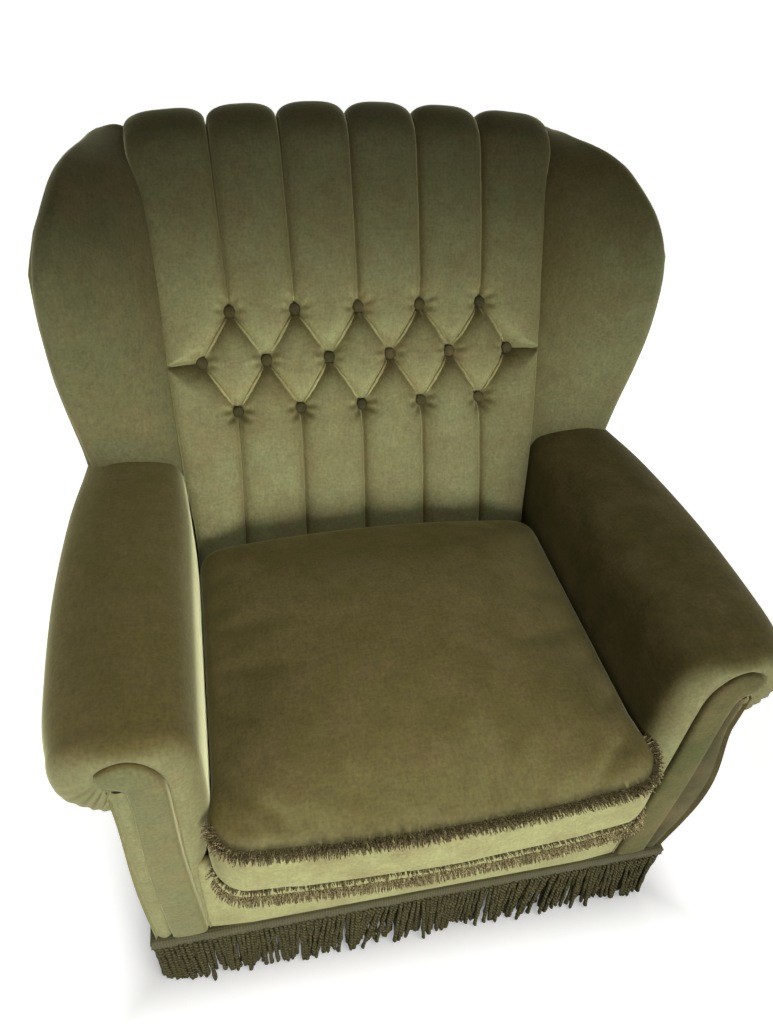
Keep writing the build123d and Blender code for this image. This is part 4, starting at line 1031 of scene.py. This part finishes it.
def swell_cloth(piece, voxel, pressure, most, held):
    """Lets a cover swell under its filling: held says how fast a point is sewn, most how far it moves."""
    mesh = piece.data
    shell = piece.copy()
    shell.data = mesh.copy()
    bpy.context.scene.collection.objects.link(shell)
    remesh = shell.modifiers.new("remesh", "REMESH")
    remesh.mode = "VOXEL"
    remesh.voxel_size = voxel
    graph = bpy.context.evaluated_depsgraph_get()
    even = bpy.data.meshes.new_from_object(shell.evaluated_get(graph))
    shell.modifiers.clear()
    shell.data = even
    start = [v.co.copy() for v in even.vertices]
    seams = shell.vertex_groups.new(name="seams")
    for number, was in enumerate(start):
        seams.add([number], held(was), "REPLACE")
    cloth = shell.modifiers.new("cloth", "CLOTH")
    for name, value in COVER_CLOTH.items():
        setattr(cloth.settings, name, value)
    cloth.settings.vertex_group_mass = seams.name
    cloth.settings.uniform_pressure_force = pressure
    cloth.settings.effector_weights.gravity = 0
    scene = bpy.context.scene
    for step in range(1, SWELL_FRAMES + 1):
        scene.frame_set(step)
    graph = bpy.context.evaluated_depsgraph_get()
    result = bpy.data.meshes.new_from_object(shell.evaluated_get(graph))
    for vert, was in zip(result.vertices, start):
        move = vert.co - was
        if move.length > most:
            vert.co = was + move.normalized() * most
    scene.frame_set(1)
    for slot_material in mesh.materials:
        if slot_material.name not in [m.name for m in result.materials if m]:
            result.materials.append(slot_material)
    result.polygons.foreach_set("use_smooth", [True] * len(result.polygons))
    bpy.data.objects.remove(shell)
    piece.data = result
    soft = piece.modifiers.new("relax", "SMOOTH")
    soft.factor = 0.5
    soft.iterations = 10
    rounded = piece.modifiers.new("rounding", "SUBSURF")
    rounded.levels = 1
    rounded.render_levels = 1


class SeatCushion(bpy.types.Operator):
    """Makes the loose box cushion and lets its filling swell it"""

    bl_idname = "armchair.seat_cushion"
    bl_label = "Seat cushion"

    def execute(self, context):
        crown = context.scene.armchair_sizes.cushion_crown
        space = cushion_space()
        # Height, and how far the outline is drawn in, from the underside to the crown
        levels = [
            (0.0, 0.110), (-0.0005, 0.060), (0.0, 0.022), (0.002, 0.008), (0.007, 0.0025), (0.020, 0.001),
            (0.042, 0.0), (0.066, 0.001), (0.078, 0.002), (0.0845, 0.006), (0.0885, 0.016),
            (CUSHION_BORDER + crown * 0.50, 0.060), (CUSHION_BORDER + crown * 0.80, 0.110),
            (CUSHION_BORDER + crown * 0.97, 0.165), (CUSHION_BORDER + crown, 0.195),
        ]
        rows = []
        for height, pull in levels:
            line = cushion_line(pull, 168)
            lifts = [height * cushion_full(p) - front_droop(p.y) for p in line]
            rows.append([space @ (p + Vector((0, 0, lift))) for p, lift in zip(line, lifts)])
        bm = skin(rows, closed=True)
        cap_ends(bm)
        # Its velvet is painted paler on the border and darker on the top
        piece = make_piece(
            "cushion_cover", bm, "cushion_mohair", body=CUSHION,
            replaces=["seat_cushion_cover", "seat_cushion_core"])

        def sewn(point):
            """One on the border between the two seams, nothing on the free top and underside."""
            local = space.inverted() @ point
            height = (local.z + front_droop(local.y)) / cushion_full(local)
            return clamp(min((height - 0.001) / 0.006, (0.0885 - height) / 0.006))

        swell_cloth(piece, voxel=0.006, pressure=4.0, most=0.016, held=sewn)
        # Its underside lies flat on the platform
        for vert in piece.data.vertices:
            local = space.inverted() @ vert.co
            local.z = max(local.z, -front_droop(local.y))
            vert.co = space @ local
        return {"FINISHED"}


class CushionFringe(bpy.types.Operator):
    """Makes the cut brush fringe on the cushion's front seams"""

    bl_idname = "armchair.cushion_fringe"
    bl_label = "Cushion fringe"

    def execute(self, context):
        sizes = context.scene.armchair_sizes
        chance = random.Random(sizes.seed)
        cushion = bpy.data.objects["cushion_cover"]
        tree = BVHTree.FromObject(cushion, bpy.context.evaluated_depsgraph_get())
        space = cushion_space()
        # Each seam's height on the border, and how far its tufts turn up
        for name, height, tilt in (("top", 0.0815, 0.30), ("bottom", 0.003, -0.45)):
            line = [p for p in cushion_line(0.0, FRINGE_ROOTS) if p.y < FRINGE_REACH]
            bm = bmesh.new()
            chunk = bmesh.new()
            for number, point in enumerate(line):
                before, after = line[number - 1], line[(number + 1) % len(line)]
                run = after - before
                if run.length > 0.01:
                    continue
                outward = Vector((run.y, -run.x, 0)).normalized()
                if outward.dot(Vector((point.x, point.y - CUSHION_DEPTH / 2, 0))) < 0:
                    outward.negate()
                for layer in range(3):
                    seam = height * cushion_full(point) - front_droop(point.y)
                    lift = seam + (layer - 1) * 0.0022 + chance.uniform(-0.0008, 0.0008)
                    start = space @ (point + outward * 0.05 + Vector((0, 0, lift)))
                    world_out = (space.to_3x3() @ outward).normalized()
                    hit = tree.ray_cast(start, -world_out)[0]
                    foot = hit if hit else space @ (point + Vector((0, 0, lift)))
                    aim = (world_out + Vector((0, 0, tilt + (layer - 1) * 0.55 + chance.uniform(-0.3, 0.3)))
                           + run.normalized() * chance.uniform(-0.35, 0.35)).normalized()
                    length = sizes.brush_length * chance.uniform(0.75, 1.1)
                    place = standing(foot - world_out * 0.001 + aim * length / 2, aim)
                    bmesh.ops.create_cone(
                        chunk, cap_ends=False, segments=3, radius1=0.0013, radius2=0.0005, depth=length,
                        matrix=place)
                # Only full bundles are sewn on, so the fringe stops a little earlier at its left end
                if number % FRINGE_BUNDLE == FRINGE_BUNDLE - 1:
                    pour(bm, chunk)
            chunk.free()
            make_piece(
                f"brush_fringe_{name}", bm, "brush_fringe_wool", body=CUSHION,
                replaces=[f"cushion_fringe_{name}"], outward=False)
        return {"FINISHED"}


class BullionFringe(bpy.types.Operator):
    """Makes the woven heading round the base and the twisted cords that hang from it"""

    bl_idname = "armchair.bullion_fringe"
    bl_label = "Bullion fringe"

    def execute(self, context):
        sizes = context.scene.armchair_sizes
        chance = random.Random(sizes.seed + 1)
        cord_mesh = self.one_cord(sizes.cord_width)
        # The four lines that the heading is sewn on
        out, front, rear = 0.3560, -0.3724, rear_y(0.13) + 0.001
        runs = {
            "front": ((-out, front), (out, front)),
            "right": ((out, front), (out, rear)),
            "back": ((out, rear), (-out, rear)),
            "left": ((-out, rear), (-out, front)),
        }
        for name, (start, end) in runs.items():
            a, b = Vector((*start, 0)), Vector((*end, 0))
            run = b - a
            outward = Vector((run.y, -run.x, 0)).normalized()
            self.heading(name, a, b, outward)
            count = int(run.length / sizes.cord_pitch)
            bm = bmesh.new()
            # Two rows, the rear one half a pitch along, so that no light shows between the cords
            for row in range(2):
                lean = 0.0
                for k in range(count):
                    lean = 0.8 * lean + chance.gauss(0, sizes.cord_sway)
                    spot = a.lerp(b, (k + 0.3 + 0.5 * row) / count)
                    spot += outward * (chance.uniform(-0.0005, 0.0022) - 0.0055 * row)
                    spot.z = CORD_TOP
                    axis_out = Matrix.Rotation(-lean * 0.8, 4, outward)
                    axis_run = Matrix.Rotation(chance.gauss(0, 0.03), 4, run.normalized())
                    long = Matrix.Diagonal((1, 1, chance.uniform(0.95, 1.01), 1))
                    spun = Matrix.Rotation(chance.uniform(0, 6.28), 4, "Z")
                    copy = cord_mesh.copy()
                    copy.transform(Matrix.Translation(spot) @ axis_out @ axis_run @ spun @ long)
                    bm.from_mesh(copy)
                    bpy.data.meshes.remove(copy)
            for vert in bm.verts:
                vert.co.z = max(vert.co.z, CORD_FLOOR)
            make_piece(
                f"bullion_{name}", bm, "bullion_cotton", replaces=[f"fringe_{name}"],
                outward=False)
        bpy.data.meshes.remove(cord_mesh)
        return {"FINISHED"}

    @staticmethod
    def one_cord(width):
        """One hanging cord: two plies twisted round each other, an oval that turns on its way down."""
        bm = bmesh.new()
        bm.loops.layers.uv.new("twist")
        bmesh.ops.create_grid(bm, x_segments=6, y_segments=10, size=0.5, calc_uvs=True)
        for vert in bm.verts:
            angle = 2 * math.pi * (vert.co.x + 0.5)
            down = 0.5 - vert.co.y
            x, y = width * 0.5 * math.cos(angle), width * 0.36 * math.sin(angle)
            oval = Vector((x, y, -CORD_LENGTH * down))
            vert.co = Matrix.Rotation(math.radians(540) * down, 3, "Z") @ oval
        bmesh.ops.remove_doubles(bm, verts=bm.verts, dist=1e-6)
        cap_ends(bm)
        bmesh.ops.recalc_face_normals(bm, faces=bm.faces)
        mesh = bpy.data.meshes.new("one_cord")
        bm.to_mesh(mesh)
        bm.free()
        return mesh

    @staticmethod
    def heading(name, a, b, outward):
        """The woven band that the cords hang from, ribbed along its length."""
        along = (b - a).normalized()
        rows = []
        for offset, z in HEADING_PROFILE:
            rows.append([
                a.lerp(b, i / 60) + along * (offset * (2 * i / 60 - 1)) + outward * offset + Vector((0, 0, z))
                for i in range(61)
            ])
        make_piece(f"fringe_heading_{name}", skin(rows), "heading_tape")


class HiddenFrame(bpy.types.Operator):
    """Gives the frame, the springing and the feet their materials"""

    bl_idname = "armchair.hidden_frame"
    bl_label = "Frame and feet"

    def execute(self, context):
        for entry in frame["record"]["subparts"]:
            material = finish(SLOT_FINISHES.get(entry["material_slot"], "mohair_velvet"))
            for slot in frame["nodes"][entry["node"]].material_slots:
                slot.material = material
        return {"FINISHED"}


class Stage(bpy.types.Operator):
    """Sets the floor, the soft light and the camera"""

    bl_idname = "armchair.stage"
    bl_label = "Stage"

    def execute(self, context):
        scene = context.scene
        scene.view_settings.view_transform = "Standard"
        bm = bmesh.new()
        bmesh.ops.create_grid(bm, x_segments=1, y_segments=1, size=14.0)
        mesh = bpy.data.meshes.new("floor")
        bm.to_mesh(mesh)
        bm.free()
        floor = bpy.data.objects.new("floor", mesh)
        scene.collection.objects.link(floor)
        mesh.materials.append(finish("seamless_paper"))
        self.world(scene)
        # Soft lights: place, aim, width, height, power and how wide they spread
        for name, spot, aim, wide, high, power, spread in (
            ("window_light", (0.06, -1.75, 0.50), (-0.09, -0.30, 0.33), 1.2, 0.8, 4.3, 45.0),
            ("top_light", (0.25, -0.95, 2.40), (-0.12, -0.30, 0.42), 1.0, 1.0, 1.25, 36.0),
            ("left_light", (-2.6, 0.3, 0.34), (0.0, 0.1, 0.40), 2.0, 0.5, 9.0, 120.0),
            ("right_light", (2.6, 0.3, 0.34), (0.0, 0.1, 0.40), 2.0, 0.5, 9.0, 120.0),
            ("rear_light", (0.4, 2.8, 0.9), (0.0, 0.3, 0.5), 2.0, 1.4, 16.0, 120.0),
        ):
            lamp = bpy.data.lights.new(name, "AREA")
            lamp.shape = "RECTANGLE"
            lamp.size, lamp.size_y, lamp.energy = wide, high, power
            lamp.spread = math.radians(spread)
            holder = bpy.data.objects.new(name, lamp)
            holder.location = spot
            holder.rotation_euler = (Vector(aim) - Vector(spot)).to_track_quat("-Z", "Y").to_euler()
            scene.collection.objects.link(holder)
        self.camera(scene)
        return {"FINISHED"}

    @staticmethod
    def world(scene):
        """A pale room: white to the camera, softer as light."""
        world = bpy.data.worlds.new("studio")
        scene.world = world
        world.use_nodes = True
        tree = world.node_tree
        tree.nodes.clear()
        seen = add_node(tree, "ShaderNodeMapRange", {"Value": seen_ray(tree), "To Min": 0.10, "To Max": 1.0})
        light = add_node(tree, "ShaderNodeBackground", {"Color": (1.0, 1.0, 1.0, 1.0), "Strength": seen})
        add_node(tree, "ShaderNodeOutputWorld", {"Surface": light})

    @staticmethod
    def camera(scene):
        """A phone held above the left arm, looking down into the seat."""
        lens = bpy.data.cameras.new("camera")
        lens.lens = 26.32
        lens.sensor_width = 36.0
        lens.shift_x = 0.0222
        lens.shift_y = 0.0102
        lens.clip_start = 0.02
        holder = bpy.data.objects.new("camera", lens)
        right = Vector((0.97933, -0.19662, 0.04751))
        up = Vector((0.09158, 0.64039, 0.76257))
        back = Vector((-0.18036, -0.74246, 0.64516))
        turned = Matrix((right, up, back)).transposed().to_4x4()
        holder.matrix_world = Matrix.Translation((-0.2158, -0.7892, 1.1710)) @ turned
        scene.collection.objects.link(holder)
        scene.camera = holder


class ArmchairPanel(bpy.types.Panel):
    """Lists the armchair's pieces and what can be changed"""

    bl_idname = "VIEW3D_PT_armchair"
    bl_label = "Wing armchair"
    bl_space_type = "VIEW_3D"
    bl_region_type = "UI"
    bl_category = "Armchair"

    def draw(self, context):
        for group in (context.scene.armchair_sizes, context.scene.armchair_colours):
            for name in group.bl_rna.properties.keys():
                if name not in ("rna_type", "name"):
                    self.layout.prop(group, name)
        for operator in STEPS:
            self.layout.operator(operator.bl_idname)


STEPS = [
    InsideBack, BackButtons, QuiltFolds, Wings, Arms, OutsideCovers, SeatCushion, CushionFringe,
    BullionFringe, HiddenFrame, Stage,
]
CLASSES = [ArmchairSizes, ArmchairColours] + STEPS + [ArmchairPanel]


def register():
    for cls in CLASSES:
        bpy.utils.register_class(cls)
    bpy.types.Scene.armchair_sizes = PointerProperty(type=ArmchairSizes)
    bpy.types.Scene.armchair_colours = PointerProperty(type=ArmchairColours)


def unregister():
    del bpy.types.Scene.armchair_colours
    del bpy.types.Scene.armchair_sizes
    for cls in reversed(CLASSES):
        bpy.utils.unregister_class(cls)


def main():
    """Registers the add-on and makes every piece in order."""
    register()
    for operator in STEPS:
        group, name = operator.bl_idname.split(".")
        getattr(getattr(bpy.ops, group), name)()


if __name__ == "__main__":
    main()
